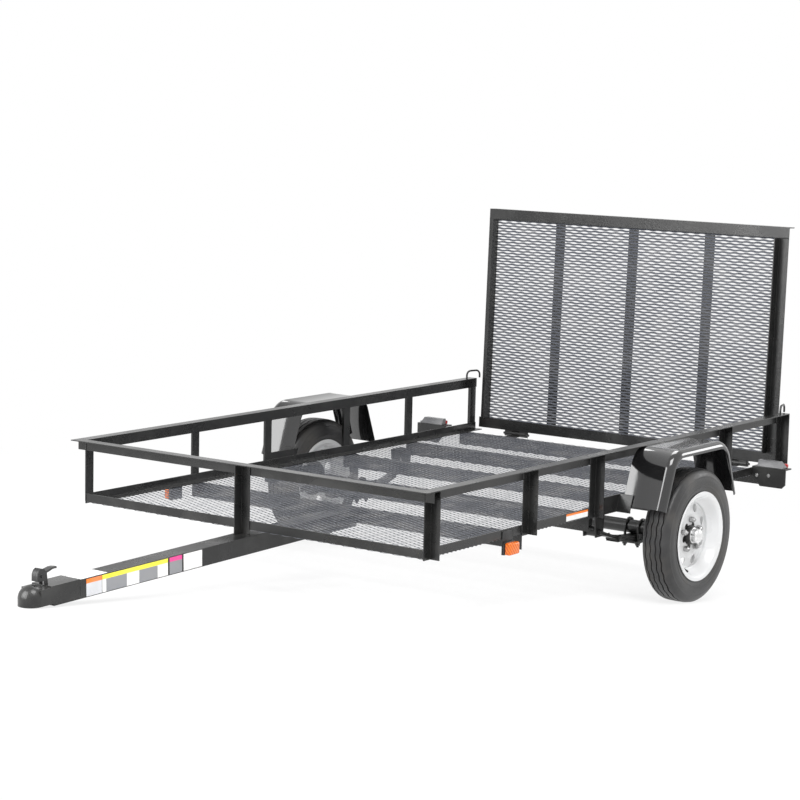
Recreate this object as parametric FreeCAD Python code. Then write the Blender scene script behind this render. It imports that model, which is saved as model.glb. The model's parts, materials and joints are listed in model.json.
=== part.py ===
"""Single-axle utility trailer with a mesh deck, side rails and a fold-down ramp gate.

Every piece is drawn with the deck level, in millimetres: X to the trailer's left, -Y to its
front, Z up from the ground under the tyres. One last placement turns the whole trailer
nose-down about its axle until the coupler rests on the ground, which is how a trailer of this
kind parks when it has no jack.
"""
import FreeCAD, Part
import math
import os

V = FreeCAD.Vector
X_AXIS = V(1, 0, 0)
TOUCH = 0.1

# Steel sections
LEG = 38.0
WALL = 3.2
PLATE = 5.0

# The axle, at the height that its tyres hold it
TYRE_RADIUS = 245.0
AXLE_Y = 253.0
AXLE_Z = TYRE_RADIUS

# Deck frame: heights above the axle, and half widths to the rails' outer faces
HALF_FRAME = 735.0
FRONT_FACE = -1210.0
REAR_END = 1207.0
DECK_RAIL_TOP = AXLE_Z + 144.0
RAIL_RISE = 192.0
RAIL_TOP = DECK_RAIL_TOP + RAIL_RISE
DECK_LEG = 30.0
DECK_RAIL_BOTTOM = DECK_RAIL_TOP - DECK_LEG
POST_DROP = 6.0
TIP = HALF_FRAME + LEG
FRONT_TIP = FRONT_FACE - LEG

# Deck mesh and the members under it
MESH_DEPTH = 4.0
UNDER_MESH = DECK_RAIL_BOTTOM - MESH_DEPTH
DECK_REAR = 1130.0
MESH_STRAND = 9.0
MESH_CELL = 110.0
CROSS_DROP = 50.0
CROSS_WALL = 4.0

# Front faces of the posts; all but the corner ones stand over a crossmember
POST_FRONTS = (FRONT_FACE, -644.0, -220.0, 277.0, 704.0, REAR_END - LEG)
CROSSMEMBERS = (
    ("crossmember_1", POST_FRONTS[1]),
    ("crossmember_2", POST_FRONTS[2]),
    ("crossmember_3", POST_FRONTS[3]),
    ("crossmember_4", POST_FRONTS[4]),
    ("rear_crossmember", DECK_REAR - LEG),
)

# Tongue, which slopes down from the first crossmember, and its coupler
TONGUE_SLOPE = 1.3
TONGUE_WIDTH = 76.0
TONGUE_HEIGHT = 60.0
TONGUE_WALL = 3.0
TONGUE_FRONT = -2154.0
TONGUE_REAR = POST_FRONTS[1]
COUPLER_WALL = 4.0
COUPLER_REAR = -2044.0
COUPLER_NECK = 14.0
COUPLER_LIFT = 8.0
BALL_Y = -2212.0
BALL_RADIUS = 25.4
BALL_PLAY = 0.6
SOCKET_DEPTH = 40.0
NOSE_RADIUS = 42.0
NOSE_DOME = 22.0
LEVER_WIDTH = 26.0
LEVER_LENGTH = 92.0
LEVER_RISE = 53.0
LEVER_GAP = 14.0
LEVER_SLANT = 20.0
LEVER_FOOT = 20.0
LEVER_TIP = 8.0

# Wheels
TYRE_HALF = 58.0
TREAD_HALF = 45.0
SIDEWALL_BULGE = 55.0
BEAD_PLAY = 0.2
WHEEL_GAP = 131.0
WHEEL_X = HALF_FRAME + WHEEL_GAP
RIM_FLANGE = 164.0
RIM_BED = 148.0
RIM_DROP = 24.0
RIM_HALF = 57.0
RIM_WALL = 3.5
DROP_HALF = 12.0
DROP_SLANT = 5.0
DISC_FACE = WHEEL_X + 10.0
DISC_BACK = 4.0
DISC_FLAT = 78.0
DISC_HOLE = 36.0
STUDS = 5
STUD_CIRCLE = 57.15
STUD_HOLE = 7.0
WINDOWS = 8
WINDOW_CIRCLE = 103.0
WINDOW_HOLE = 15.0

# Hubs on the axle's spindles
SPINDLE = 16.0
SPINDLE_FIT = 0.05
SPINDLE_END = WHEEL_X + 38.0
HUB_INNER = WHEEL_X - 34.0
HUB_FLANGE = 70.0
HUB_FLANGE_PLATE = 8.0
HUB_BARREL = 34.0
BARREL_END = WHEEL_X + 27.0
CAP_RADIUS = 26.0
CAP_END = WHEEL_X + 59.0
CAP_BEVEL = 6.0
STUD_RADIUS = 6.3
STUD_REACH = 22.0

# Axle and springs
AXLE_TUBE = 25.0
AXLE_END = WHEEL_X - 40.0
SPRING_INSET = 85.0
SPRING_X = HALF_FRAME - SPRING_INSET
SPRING_WIDTH = 45.0
SPRING_HALF = 300.0
SPRING_THICK = 20.0
SPRING_SAG = 62.0
SPRING_EYE = 18.0
SPRING_STATIONS = 8
HANGER_HALF = 24.0
HANGER_FLARE = 10.0
CLAMP_PLATE = 8.0
CLAMP_HALF = 50.0
U_BOLT = 5.0
U_BOLT_TAIL = 16.0

# Fenders
FENDER_Y = AXLE_Y - 9.0
FENDER_INNER = HALF_FRAME + 22.0
FENDER_OUTER = WHEEL_X + 58.0
FENDER_TOP = RAIL_TOP - WALL
FENDER_RISE = 214.8
FENDER_BOTTOM = FENDER_TOP - FENDER_RISE
FENDER_FOOT = 279.0
FENDER_LEAN = 0.38
FENDER_CORNER = 90.0
FENDER_WALL = 3.0
FENDER_ROLL = 28.0
GUSSET_RISE = 52.0

# Ramp gate, drawn upright on its pivot and then leaned to the rear
GATE_PIVOT_Y = REAR_END + 18.0
GATE_PIVOT_Z = UNDER_MESH
GATE_FRONT = 8.0
GATE_LEAN = 1.9
GATE_HALF = HALF_FRAME - 21.0
GATE_SILL = GATE_HALF + 8.0
GATE_BOTTOM = 13.0
GATE_TOP = 958.0
GATE_LEG = 44.0
GATE_WALL = 4.0
GATE_BAR = 45.0
GATE_BARS = (-GATE_HALF / 2, 0.0, GATE_HALF / 2)
HINGE_X = HALF_FRAME - 204.0
HINGES = (-HINGE_X, HINGE_X)
HINGE_LENGTH = 106.0
HINGE_PIN = 6.0
HINGE_EYE = 12.0
HINGE_FIT = 0.05
HINGE_GAP = 1.0
STRAP_PLATE = 8.0
LATCH_ROD = 4.0
LATCH_STEM = 12.0
LATCH_BEND = 20.0
LATCH_REACH = 72.0
LATCH_FOOT = 44.0

# Lamps
LAMP_FRONT = 982.0
LAMP_OUTER = HALF_FRAME + 145.0
LAMP_SEAT = DECK_RAIL_TOP + 6.0
LAMP_DROP = 76.0
LAMP_ARM = 40.0
LAMP_ARM_REACH = 8.0
LAMP_CHAMFER = 14.0
LAMP_SHELF = 50.0
LAMP_START = HALF_FRAME + 20.0
LAMP_END = LAMP_OUTER - 12.0
LAMP_DEPTH = 52.0
LAMP_HEIGHT = 26.0
MARKER_Y = -731.0
MARKER_LENGTH = 64.0
MARKER_DEPTH = 30.0
MARKER_HEIGHT = 44.0
MARKER_BOTTOM = DECK_RAIL_TOP - 85.0


# --- Shape helpers ------------------------------------------------------------------------

def box(x0, x1, y0, y1, z0, z1):
    """Block between two opposite corners, given in any order."""
    low = V(min(x0, x1), min(y0, y1), min(z0, z1))
    return Part.makeBox(abs(x1 - x0), abs(y1 - y0), abs(z1 - z0), low)


def join(*shapes):
    """Fuse shapes into one and take out the seams."""
    return shapes[0].multiFuse(list(shapes[1:])).removeSplitter()


def mirrored(shape):
    """Copy of a left-hand piece for the right-hand side."""
    return shape.mirror(V(0, 0, 0), X_AXIS)


def prism(corners, depth):
    """Closed flat outline of points, carried along a vector."""
    return Part.Face(Part.makePolygon(corners + corners[:1])).extrude(depth)


def prism_x(points, x0, x1):
    """Outline of (y, z) points, carried from x0 to x1."""
    return prism([V(x0, y, z) for y, z in points], V(x1 - x0, 0, 0))


def angle(corner, along, leg_a, leg_b, wall=WALL):
    """Angle section: two legs that leave its outer corner, carried along a third vector."""
    thick_a = leg_a * (wall / leg_a.Length)
    thick_b = leg_b * (wall / leg_b.Length)
    outline = [corner, corner + leg_a, corner + leg_a + thick_b, corner + thick_a + thick_b,
               corner + leg_b + thick_a, corner + leg_b]
    return prism(outline, along)


def rod(start, end, radius):
    """Round bar between two points."""
    return Part.makeCylinder(radius, (end - start).Length, start, end - start)


def ring(points):
    """Solid of revolution about the axle's line from (x, radius) points."""
    outline = [V(x, AXLE_Y, AXLE_Z + radius) for x, radius in points]
    face = Part.Face(Part.makePolygon(outline + outline[:1]))
    return face.revolve(V(0, AXLE_Y, AXLE_Z), X_AXIS, 360)


def around_axle(count, circle, radius, x0, x1, first=0.0):
    """Equal round bars parallel to the axle, spaced round it from the given step."""
    bars = []
    for n in range(count):
        turn = 2 * math.pi * (n + first) / count
        start = V(x0, AXLE_Y + circle * math.sin(turn), AXLE_Z + circle * math.cos(turn))
        bars.append(Part.makeCylinder(radius, x1 - x0, start, X_AXIS))
    return bars


# --- Deck frame ---------------------------------------------------------------------------

def top_rail_side():
    """Side rail: a vertical leg, with the flange turned outward and mitred at the front."""
    leg = box(HALF_FRAME - WALL, HALF_FRAME, FRONT_FACE, REAR_END, RAIL_TOP - LEG, RAIL_TOP)
    level = RAIL_TOP - WALL
    flange = prism([V(HALF_FRAME, FRONT_FACE, level), V(TIP, FRONT_TIP, level),
                    V(TIP, REAR_END, level), V(HALF_FRAME, REAR_END, level)], V(0, 0, WALL))
    return join(leg, flange)


def top_rail_front():
    """Front rail between the side rails' legs, its flange mitred at both corners."""
    inner = HALF_FRAME - WALL
    level = RAIL_TOP - WALL
    leg = box(-inner, inner, FRONT_FACE, FRONT_FACE + WALL, RAIL_TOP - LEG, RAIL_TOP)
    flange = prism([V(-HALF_FRAME, FRONT_FACE, level), V(-TIP, FRONT_TIP, level),
                    V(TIP, FRONT_TIP, level), V(HALF_FRAME, FRONT_FACE, level)], V(0, 0, WALL))
    return join(leg, flange)


def deck_rail_side():
    """Deck side rail: a vertical leg with the flange turned inward under the load."""
    leg = box(HALF_FRAME - WALL, HALF_FRAME, FRONT_FACE, REAR_END,
              DECK_RAIL_BOTTOM, DECK_RAIL_TOP)
    flange = box(HALF_FRAME - LEG, HALF_FRAME - WALL, FRONT_FACE + LEG, REAR_END,
                 DECK_RAIL_BOTTOM, DECK_RAIL_BOTTOM + WALL)
    return join(leg, flange)


def deck_rail_front():
    """Deck front rail, between the side rails' vertical legs."""
    inner = HALF_FRAME - WALL
    return angle(V(-inner, FRONT_FACE, DECK_RAIL_BOTTOM), V(2 * inner, 0, 0),
                 V(0, LEG, 0), V(0, 0, DECK_LEG))


def side_post(front):
    """Angle post outside the side rails, its free leg outward at the rear."""
    under_fender = abs(front + LEG / 2 - FENDER_Y) < FENDER_FOOT
    top = FENDER_TOP - FENDER_WALL if under_fender else RAIL_TOP - WALL
    bottom = DECK_RAIL_BOTTOM - POST_DROP
    return angle(V(HALF_FRAME, front + LEG, bottom), V(0, 0, top - bottom),
                 V(LEG, 0, 0), V(0, -LEG, 0))


def posts_side():
    """All posts of the left side."""
    return Part.makeCompound([side_post(front) for front in POST_FRONTS])


def front_post():
    """Middle post of the front, its foot on the tongue."""
    half = LEG / 2
    foot = UNDER_MESH + (FRONT_FACE - TONGUE_REAR) * math.tan(math.radians(TONGUE_SLOPE))
    return angle(V(-half, FRONT_FACE, foot), V(0, 0, RAIL_TOP - WALL - foot),
                 V(0, -LEG, 0), V(LEG, 0, 0))


def crossmember(front):
    """Angle across the deck: one leg hanging at the front, one flat under the mesh."""
    return angle(V(-HALF_FRAME, front, UNDER_MESH), V(2 * HALF_FRAME, 0, 0),
                 V(0, LEG, 0), V(0, 0, -CROSS_DROP), CROSS_WALL)


def diamond_sheet(x0, x1, y0, y1, z0, z1):
    """Expanded metal on a wide pitch: a sheet with staggered rows of diamond openings."""
    across = round((x1 - x0) / MESH_CELL)
    along = round((y1 - y0) / MESH_CELL)
    pitch_x = (x1 - x0 - MESH_STRAND) / across
    pitch_y = (y1 - y0 - MESH_STRAND) / along
    half_x = (pitch_x - 2 * MESH_STRAND) / 2
    half_y = (pitch_y - 2 * MESH_STRAND) / 2
    openings = []
    for row in range(2 * along - 1):
        stagger = row % 2
        y = y0 + MESH_STRAND / 2 + (row + 1) * pitch_y / 2
        for column in range(across - stagger):
            x = x0 + MESH_STRAND / 2 + (column + (1 + stagger) / 2) * pitch_x
            diamond = [V(x - half_x, y, z0), V(x, y - half_y, z0), V(x + half_x, y, z0), V(x, y + half_y, z0)]
            openings.append(prism(diamond, V(0, 0, z1 - z0)))
    return box(x0, x1, y0, y1, z0, z1).cut(Part.makeCompound(openings))


def deck_mesh():
    """Deck sheet between the deck rails and the crossmembers."""
    return diamond_sheet(-HALF_FRAME, HALF_FRAME, FRONT_FACE, DECK_REAR,
                         UNDER_MESH, DECK_RAIL_BOTTOM)


# --- Tongue and coupler -------------------------------------------------------------------

def sloped(shape):
    """Turn a piece drawn along the level tongue down to the tongue's real slope."""
    turned = shape.copy()
    turned.rotate(V(0, TONGUE_REAR, UNDER_MESH), X_AXIS, TONGUE_SLOPE)
    return turned


def tongue_beam():
    """Straight tube on the centre line, its rear end cut square to the first crossmember."""
    half = TONGUE_WIDTH / 2
    low = UNDER_MESH - TONGUE_HEIGHT
    wall = TONGUE_WALL
    outer = box(-half, half, TONGUE_FRONT, TONGUE_REAR + LEG, low, UNDER_MESH)
    bore = box(wall - half, half - wall, TONGUE_FRONT - 1, TONGUE_REAR + LEG + 1,
               low + wall, UNDER_MESH - wall)
    behind = box(-TONGUE_WIDTH, TONGUE_WIDTH, TONGUE_REAR, TONGUE_REAR + 2 * LEG,
                 low - LEG, UNDER_MESH + LEG)
    return sloped(outer.cut(bore)).cut(behind)


def coupler_body():
    """Pressed coupler: a channel over the tongue's end and a domed ball socket."""
    half = TONGUE_WIDTH / 2
    outer = half + COUPLER_WALL
    top = UNDER_MESH + COUPLER_WALL
    bottom = UNDER_MESH - TONGUE_HEIGHT + COUPLER_LIFT
    front = TONGUE_FRONT - COUPLER_NECK
    cap = box(-outer, outer, front, COUPLER_REAR, UNDER_MESH, top)
    cheek = box(half, outer, front, COUPLER_REAR, bottom, UNDER_MESH)
    neck = box(-outer, outer, BALL_Y, TONGUE_FRONT, bottom, top - COUPLER_WALL)
    skirt = Part.makeCylinder(NOSE_RADIUS, NOSE_DOME, V(0, BALL_Y, bottom))
    dome = Part.makeSphere(NOSE_RADIUS, V(0, BALL_Y, bottom + NOSE_DOME), V(0, 0, 1), 0, 90, 360)
    socket = Part.makeCylinder(BALL_RADIUS + BALL_PLAY, SOCKET_DEPTH, V(0, BALL_Y, bottom))
    return sloped(join(cap, cheek, mirrored(cheek), neck, skirt, dome).cut(socket))


def coupler_lever():
    """Latch lever: a plate on the neck that leans over the dome, and a handle that runs back."""
    heel = TONGUE_FRONT - COUPLER_NECK
    foot = UNDER_MESH + COUPLER_WALL
    crest = foot + LEVER_RISE
    side = [(heel, foot), (heel, foot + LEVER_GAP), (BALL_Y, foot + LEVER_GAP),
            (BALL_Y, crest - LEVER_SLANT), (heel - LEVER_FOOT / 2, crest), (heel + LEVER_FOOT, crest),
            (heel + LEVER_LENGTH, crest), (heel + LEVER_LENGTH, crest - LEVER_TIP),
            (heel + LEVER_FOOT, crest - LEVER_SLANT), (heel + LEVER_FOOT, foot)]
    return sloped(prism_x(side, -LEVER_WIDTH / 2, LEVER_WIDTH / 2))


# --- Axle, springs and wheels -------------------------------------------------------------

def axle_beam():
    """Round tube with a plain spindle at each end."""
    tube = rod(V(-AXLE_END, AXLE_Y, AXLE_Z), V(AXLE_END, AXLE_Y, AXLE_Z), AXLE_TUBE)
    spindle = rod(V(-SPINDLE_END, AXLE_Y, AXLE_Z), V(SPINDLE_END, AXLE_Y, AXLE_Z), SPINDLE)
    return join(tube, spindle)


def tyre():
    """Tyre of the left wheel: bead between the rim's flanges, bulged sidewall, flat tread."""
    inside = RIM_HALF - RIM_WALL - BEAD_PLAY
    half = [(inside, RIM_BED + BEAD_PLAY), (inside, RIM_FLANGE + PLATE),
            (TYRE_HALF, RIM_BED + SIDEWALL_BULGE), (TREAD_HALF, TYRE_RADIUS)]
    outline = [(WHEEL_X - x, radius) for x, radius in half]
    outline += [(WHEEL_X + x, radius) for x, radius in reversed(half)]
    return ring(outline)


def rim():
    """Steel wheel: a drop-centre bed with flanges, and a dished disc with round windows."""
    bed_inner = RIM_BED - RIM_WALL
    drop_outer = RIM_BED - RIM_DROP
    half = [(DROP_HALF, drop_outer), (DROP_HALF + DROP_SLANT, RIM_BED), (RIM_HALF - RIM_WALL, RIM_BED),
            (RIM_HALF - RIM_WALL, RIM_FLANGE), (RIM_HALF, RIM_FLANGE), (RIM_HALF, bed_inner),
            (DROP_HALF + DROP_SLANT + RIM_WALL, bed_inner), (DROP_HALF + RIM_WALL, drop_outer - RIM_WALL)]
    outline = [(WHEEL_X + x, radius) for x, radius in half]
    outline += [(WHEEL_X - x, radius) for x, radius in reversed(half)]
    edge = drop_outer - RIM_WALL + TOUCH
    back = DISC_FACE - DISC_BACK
    disc = [(back, DISC_HOLE), (DISC_FACE, DISC_HOLE), (DISC_FACE, DISC_FLAT),
            (WHEEL_X + DISC_BACK, edge), (WHEEL_X, edge), (back, DISC_FLAT)]
    wheel = join(ring(outline), ring(disc))
    holes = around_axle(STUDS, STUD_CIRCLE, STUD_HOLE, back - LEG, DISC_FACE + LEG)
    holes += around_axle(WINDOWS, WINDOW_CIRCLE, WINDOW_HOLE, back - LEG, DISC_FACE + LEG, 0.5)
    return wheel.cut(Part.makeCompound(holes))


def hub():
    """Wheel hub on the spindle: flange behind the disc, studs, barrel and dust cap."""
    seat = DISC_FACE - DISC_BACK
    bore = SPINDLE + SPINDLE_FIT
    pocket = SPINDLE_END + PLATE
    body = [(HUB_INNER, bore), (HUB_INNER, HUB_BARREL), (seat - HUB_FLANGE_PLATE, HUB_BARREL),
            (seat - HUB_FLANGE_PLATE, HUB_FLANGE), (seat, HUB_FLANGE), (seat, HUB_BARREL),
            (BARREL_END, HUB_BARREL), (BARREL_END, CAP_RADIUS), (CAP_END - CAP_BEVEL, CAP_RADIUS),
            (CAP_END, CAP_RADIUS - CAP_BEVEL), (CAP_END, 0), (pocket, 0), (pocket, bore)]
    studs = around_axle(STUDS, STUD_CIRCLE, STUD_RADIUS, seat - TOUCH, seat + STUD_REACH)
    return join(ring(body), *studs)


def spring_rise(along):
    """Height of the spring's middle line above its lowest point, at a place along it."""
    return SPRING_SAG * (along / SPRING_HALF) ** 2


def leaf_spring():
    """Leaf pack under the axle tube, sagging between its two eyes."""
    seat = AXLE_Z - AXLE_TUBE
    stations = [SPRING_HALF * (2 * n / SPRING_STATIONS - 1) for n in range(SPRING_STATIONS + 1)]
    upper = [(AXLE_Y + along, seat + spring_rise(along)) for along in stations]
    lower = [(y, z - SPRING_THICK) for y, z in reversed(upper)]
    inner = SPRING_X - SPRING_WIDTH / 2
    pack = prism_x(upper + lower, inner, inner + SPRING_WIDTH)
    eyes = [Part.makeCylinder(SPRING_EYE, SPRING_WIDTH, V(inner, y, eye_height()), X_AXIS)
            for y in eye_places()]
    return join(pack, *eyes)


def eye_places():
    """Y of the spring's front and rear eyes."""
    return AXLE_Y - SPRING_HALF, AXLE_Y + SPRING_HALF


def eye_height():
    """Z of the spring's eyes."""
    return AXLE_Z - AXLE_TUBE - SPRING_THICK / 2 + SPRING_SAG


def spring_hangers():
    """Two plate hangers that carry the spring's eyes under the frame."""
    inner = SPRING_X - SPRING_WIDTH / 2
    outer = SPRING_X + SPRING_WIDTH / 2
    foot = eye_height() - SPRING_EYE
    flare = HANGER_HALF + HANGER_FLARE
    hangers = []
    for y in eye_places():
        cheek = [(y - HANGER_HALF, foot), (y + HANGER_HALF, foot), (y + flare, UNDER_MESH),
                 (y - flare, UNDER_MESH)]
        top = box(inner - PLATE, outer + PLATE, y - flare, y + flare, UNDER_MESH - PLATE, UNDER_MESH)
        hangers.append(join(prism_x(cheek, inner - PLATE, inner),
                            prism_x(cheek, outer, outer + PLATE), top))
    return Part.makeCompound(hangers)


def bolt_bow(x, reach):
    """Half ring of a U-bolt over the axle tube."""
    centre = V(x, AXLE_Y + reach, AXLE_Z)
    turns = [math.pi * n / 3 for n in range(6)]
    corners = [centre + V(U_BOLT * math.cos(turn), U_BOLT * math.sin(turn), 0) for turn in turns]
    face = Part.Face(Part.makePolygon(corners + corners[:1]))
    return face.revolve(V(0, AXLE_Y, AXLE_Z), X_AXIS, 180)


def spring_clamp():
    """Plate under the spring with two U-bolts over the axle."""
    low = AXLE_Z - AXLE_TUBE - SPRING_THICK
    half = SPRING_WIDTH / 2 + 3 * U_BOLT
    reach = AXLE_TUBE + U_BOLT
    plate = box(SPRING_X - half, SPRING_X + half, AXLE_Y - CLAMP_HALF, AXLE_Y + CLAMP_HALF,
                low - CLAMP_PLATE, low)
    bolts = []
    for x in (SPRING_X - SPRING_WIDTH / 2 - U_BOLT, SPRING_X + SPRING_WIDTH / 2 + U_BOLT):
        for y in (AXLE_Y - reach, AXLE_Y + reach):
            bolts.append(rod(V(x, y, low - CLAMP_PLATE - U_BOLT_TAIL), V(x, y, AXLE_Z), U_BOLT))
        bolts.append(bolt_bow(x, reach))
    return join(plate, *bolts)


# --- Fenders and lamps --------------------------------------------------------------------

def fender_block(inset, outer):
    """Block under the fender's outline moved inward by inset, out to the given x."""
    slope = math.atan(FENDER_LEAN)
    turn = math.pi / 2 - slope
    top = FENDER_TOP - inset
    radius = FENDER_CORNER - inset
    foot = FENDER_FOOT - inset / math.cos(slope)
    crown = foot - (top - FENDER_BOTTOM) * FENDER_LEAN - radius * math.tan(turn / 2)
    bend = [slope + share * turn for share in (0, 0.5, 1)]
    half = [(foot, FENDER_BOTTOM)]
    half += [(crown + radius * math.cos(a), top - radius + radius * math.sin(a)) for a in bend]
    inner = FENDER_INNER - (PLATE if inset else 0)
    front = [V(inner, FENDER_Y - y, z) for y, z in half]
    rear = [V(inner, FENDER_Y + y, z) for y, z in half]
    edges = [Part.LineSegment(front[0], front[1]), Part.Arc(*front[1:]),
             Part.LineSegment(front[3], rear[3]), Part.Arc(*reversed(rear[1:])),
             Part.LineSegment(rear[1], rear[0]), Part.LineSegment(rear[0], front[0])]
    face = Part.Face(Part.Wire([edge.toShape() for edge in edges]))
    return face.extrude(V(outer - inner, 0, 0))


def rolled_block(inset):
    """Fender block whose outer edge is rounded, except along the open bottom."""
    outer = FENDER_OUTER - inset
    block = fender_block(inset, outer)
    edges = [edge for edge in block.Edges if edge.BoundBox.XMin > outer - TOUCH
             and edge.BoundBox.ZMax > FENDER_BOTTOM + TOUCH]
    return block.makeFillet(FENDER_ROLL - inset, edges)


def fender():
    """Bent sheet over the wheel, open at the side below its rolled outer edge."""
    opening = fender_block(FENDER_ROLL, FENDER_OUTER + PLATE)
    return rolled_block(0).cut(rolled_block(FENDER_WALL)).cut(opening)


def fender_bracket():
    """Gusset from the third post, turned outward under the fender's front foot."""
    front = POST_FRONTS[2] + LEG
    foot = FENDER_Y - FENDER_FOOT
    bottom = DECK_RAIL_BOTTOM - POST_DROP
    knee = foot + GUSSET_RISE * FENDER_LEAN
    shoulder = FENDER_BOTTOM + GUSSET_RISE
    gusset = prism_x([(front, bottom), (foot, bottom), (foot, FENDER_BOTTOM), (knee, shoulder),
                      (front, shoulder)], HALF_FRAME, HALF_FRAME + PLATE)
    tab = prism_x([(foot - PLATE, bottom), (foot, bottom), (foot, FENDER_BOTTOM),
                   (knee, shoulder), (knee - PLATE, shoulder), (foot - PLATE, FENDER_BOTTOM)],
                  HALF_FRAME, FENDER_INNER + LEG)
    return join(gusset, tab)


def lamp_bracket():
    """Angle that stands out behind the fender: a cut-away plate and the lamp's shelf."""
    low = LAMP_SEAT - LAMP_DROP
    arm = LAMP_SEAT - LAMP_ARM
    step = HALF_FRAME + LAMP_ARM_REACH
    corners = [(HALF_FRAME, LAMP_SEAT), (LAMP_OUTER, LAMP_SEAT), (LAMP_OUTER, low + LAMP_CHAMFER),
               (LAMP_OUTER - LAMP_CHAMFER, low), (step + 2 * LAMP_CHAMFER, low),
               (step, arm), (HALF_FRAME, arm)]
    plate = prism([V(x, LAMP_FRONT, z) for x, z in corners], V(0, PLATE, 0))
    shelf = box(HALF_FRAME, LAMP_OUTER, LAMP_FRONT, LAMP_FRONT + LAMP_SHELF,
                LAMP_SEAT - PLATE, LAMP_SEAT)
    return join(plate, shelf)


def tail_lamp():
    """Lamp housing on its bracket, its front edge sloped."""
    top = LAMP_SEAT + LAMP_HEIGHT
    rear = LAMP_FRONT + LAMP_DEPTH
    side = [(LAMP_FRONT, LAMP_SEAT), (rear, LAMP_SEAT), (rear, top), (LAMP_FRONT + LAMP_CHAMFER, top)]
    return prism_x(side, LAMP_START, LAMP_END)


def side_marker():
    """Marker lamp on a plate below the deck rail."""
    x0 = HALF_FRAME
    half = MARKER_LENGTH / 2
    plate = box(x0, x0 + WALL, MARKER_Y - half, MARKER_Y + half, MARKER_BOTTOM, DECK_RAIL_TOP - PLATE)
    lens = box(x0 + WALL, x0 + WALL + MARKER_DEPTH, MARKER_Y - half, MARKER_Y + half,
               MARKER_BOTTOM, MARKER_BOTTOM + MARKER_HEIGHT)
    return join(plate, lens)


# --- Ramp gate ----------------------------------------------------------------------------

def leaned(shape):
    """Turn a gate piece from upright to the gate's rest, leaning back on its pivot."""
    turned = shape.copy()
    turned.rotate(V(0, GATE_PIVOT_Y, GATE_PIVOT_Z), X_AXIS, -GATE_LEAN)
    return turned


def gate_rail(half, height, up):
    """Angle across the gate; its upright leg rises or hangs from the level leg."""
    corner = V(-half, GATE_PIVOT_Y - GATE_FRONT, GATE_PIVOT_Z + height)
    return leaned(angle(corner, V(2 * half, 0, 0), V(0, GATE_LEG, 0), V(0, 0, up * GATE_LEG), GATE_WALL))


def gate_top():
    """Top rail of the gate, its level leg uppermost."""
    return gate_rail(GATE_HALF, GATE_TOP, -1)


def gate_bottom():
    """Bottom rail of the gate over the hinges, longer than the gate is wide."""
    return gate_rail(GATE_SILL, GATE_BOTTOM, 1)


def gate_stile():
    """Upright of the gate's left edge, between its two rails."""
    low = GATE_PIVOT_Z + GATE_BOTTOM + GATE_LEG
    high = GATE_PIVOT_Z + GATE_TOP - GATE_LEG
    corner = V(GATE_HALF - GATE_LEG, GATE_PIVOT_Y - GATE_FRONT + GATE_WALL, low)
    return leaned(angle(corner, V(0, 0, high - low), V(0, -GATE_LEG, 0), V(GATE_LEG, 0, 0), GATE_WALL))


def gate_bars():
    """Upright angles behind the mesh, between the two rails' level legs."""
    y = GATE_PIVOT_Y - GATE_FRONT + GATE_WALL + MESH_DEPTH
    low = GATE_PIVOT_Z + GATE_BOTTOM + GATE_WALL
    high = GATE_PIVOT_Z + GATE_TOP - GATE_WALL
    depth = GATE_LEG - GATE_WALL - MESH_DEPTH
    bars = []
    for x in GATE_BARS:
        bars.append(angle(V(x - GATE_BAR / 2, y, low), V(0, 0, high - low),
                          V(0, depth, 0), V(GATE_BAR, 0, 0), GATE_WALL))
    return leaned(Part.makeCompound(bars))


def gate_mesh():
    """Mesh behind the gate's frame and in front of its bars."""
    y = GATE_PIVOT_Y - GATE_FRONT + GATE_WALL
    half = GATE_HALF - GATE_WALL
    low = GATE_PIVOT_Z + GATE_BOTTOM + GATE_WALL
    high = GATE_PIVOT_Z + GATE_TOP - GATE_WALL
    sheet = diamond_sheet(-half, half, low, high, 0, MESH_DEPTH)
    sheet.rotate(V(0, 0, 0), X_AXIS, 90)
    sheet.translate(V(0, y + MESH_DEPTH, 0))
    return leaned(sheet)


def hinge_straps():
    """Two straps from the rear crossmember to the hinge pins, which they carry."""
    straps = []
    low = UNDER_MESH - CROSS_DROP
    half = HINGE_LENGTH / 6
    under_eye = GATE_PIVOT_Z - HINGE_EYE
    for x in HINGES:
        centre = V(x - half, GATE_PIVOT_Y, GATE_PIVOT_Z)
        eye = Part.makeCylinder(HINGE_EYE, 2 * half, centre, X_AXIS)
        pin = Part.makeCylinder(HINGE_PIN, HINGE_LENGTH, V(x - 3 * half, GATE_PIVOT_Y, GATE_PIVOT_Z), X_AXIS)
        strap = box(x - half, x + half, DECK_REAR, GATE_PIVOT_Y, under_eye, under_eye + STRAP_PLATE)
        foot = box(x - 2 * half, x + 2 * half, DECK_REAR, DECK_REAR + PLATE, low, UNDER_MESH)
        straps.append(join(eye, strap, foot, pin))
    return Part.makeCompound(straps)


def gate_hinges():
    """Eyes under the gate's bottom rail, a pair on each hinge pin."""
    bore = HINGE_PIN + HINGE_FIT
    length = HINGE_LENGTH / 3 - HINGE_GAP
    pairs = []
    for x in HINGES:
        for start in (x - HINGE_LENGTH / 2, x + HINGE_LENGTH / 2 - length):
            eye = Part.makeCylinder(HINGE_EYE, length, V(start, GATE_PIVOT_Y, GATE_PIVOT_Z), X_AXIS)
            web = box(start, start + length, GATE_PIVOT_Y - GATE_FRONT, GATE_PIVOT_Y + HINGE_EYE,
                      GATE_PIVOT_Z, GATE_PIVOT_Z + GATE_BOTTOM)
            hole = Part.makeCylinder(bore, length + 2, V(start - 1, GATE_PIVOT_Y, GATE_PIVOT_Z), X_AXIS)
            pairs.append(join(eye, web).cut(hole))
    return leaned(Part.makeCompound(pairs))


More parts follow.
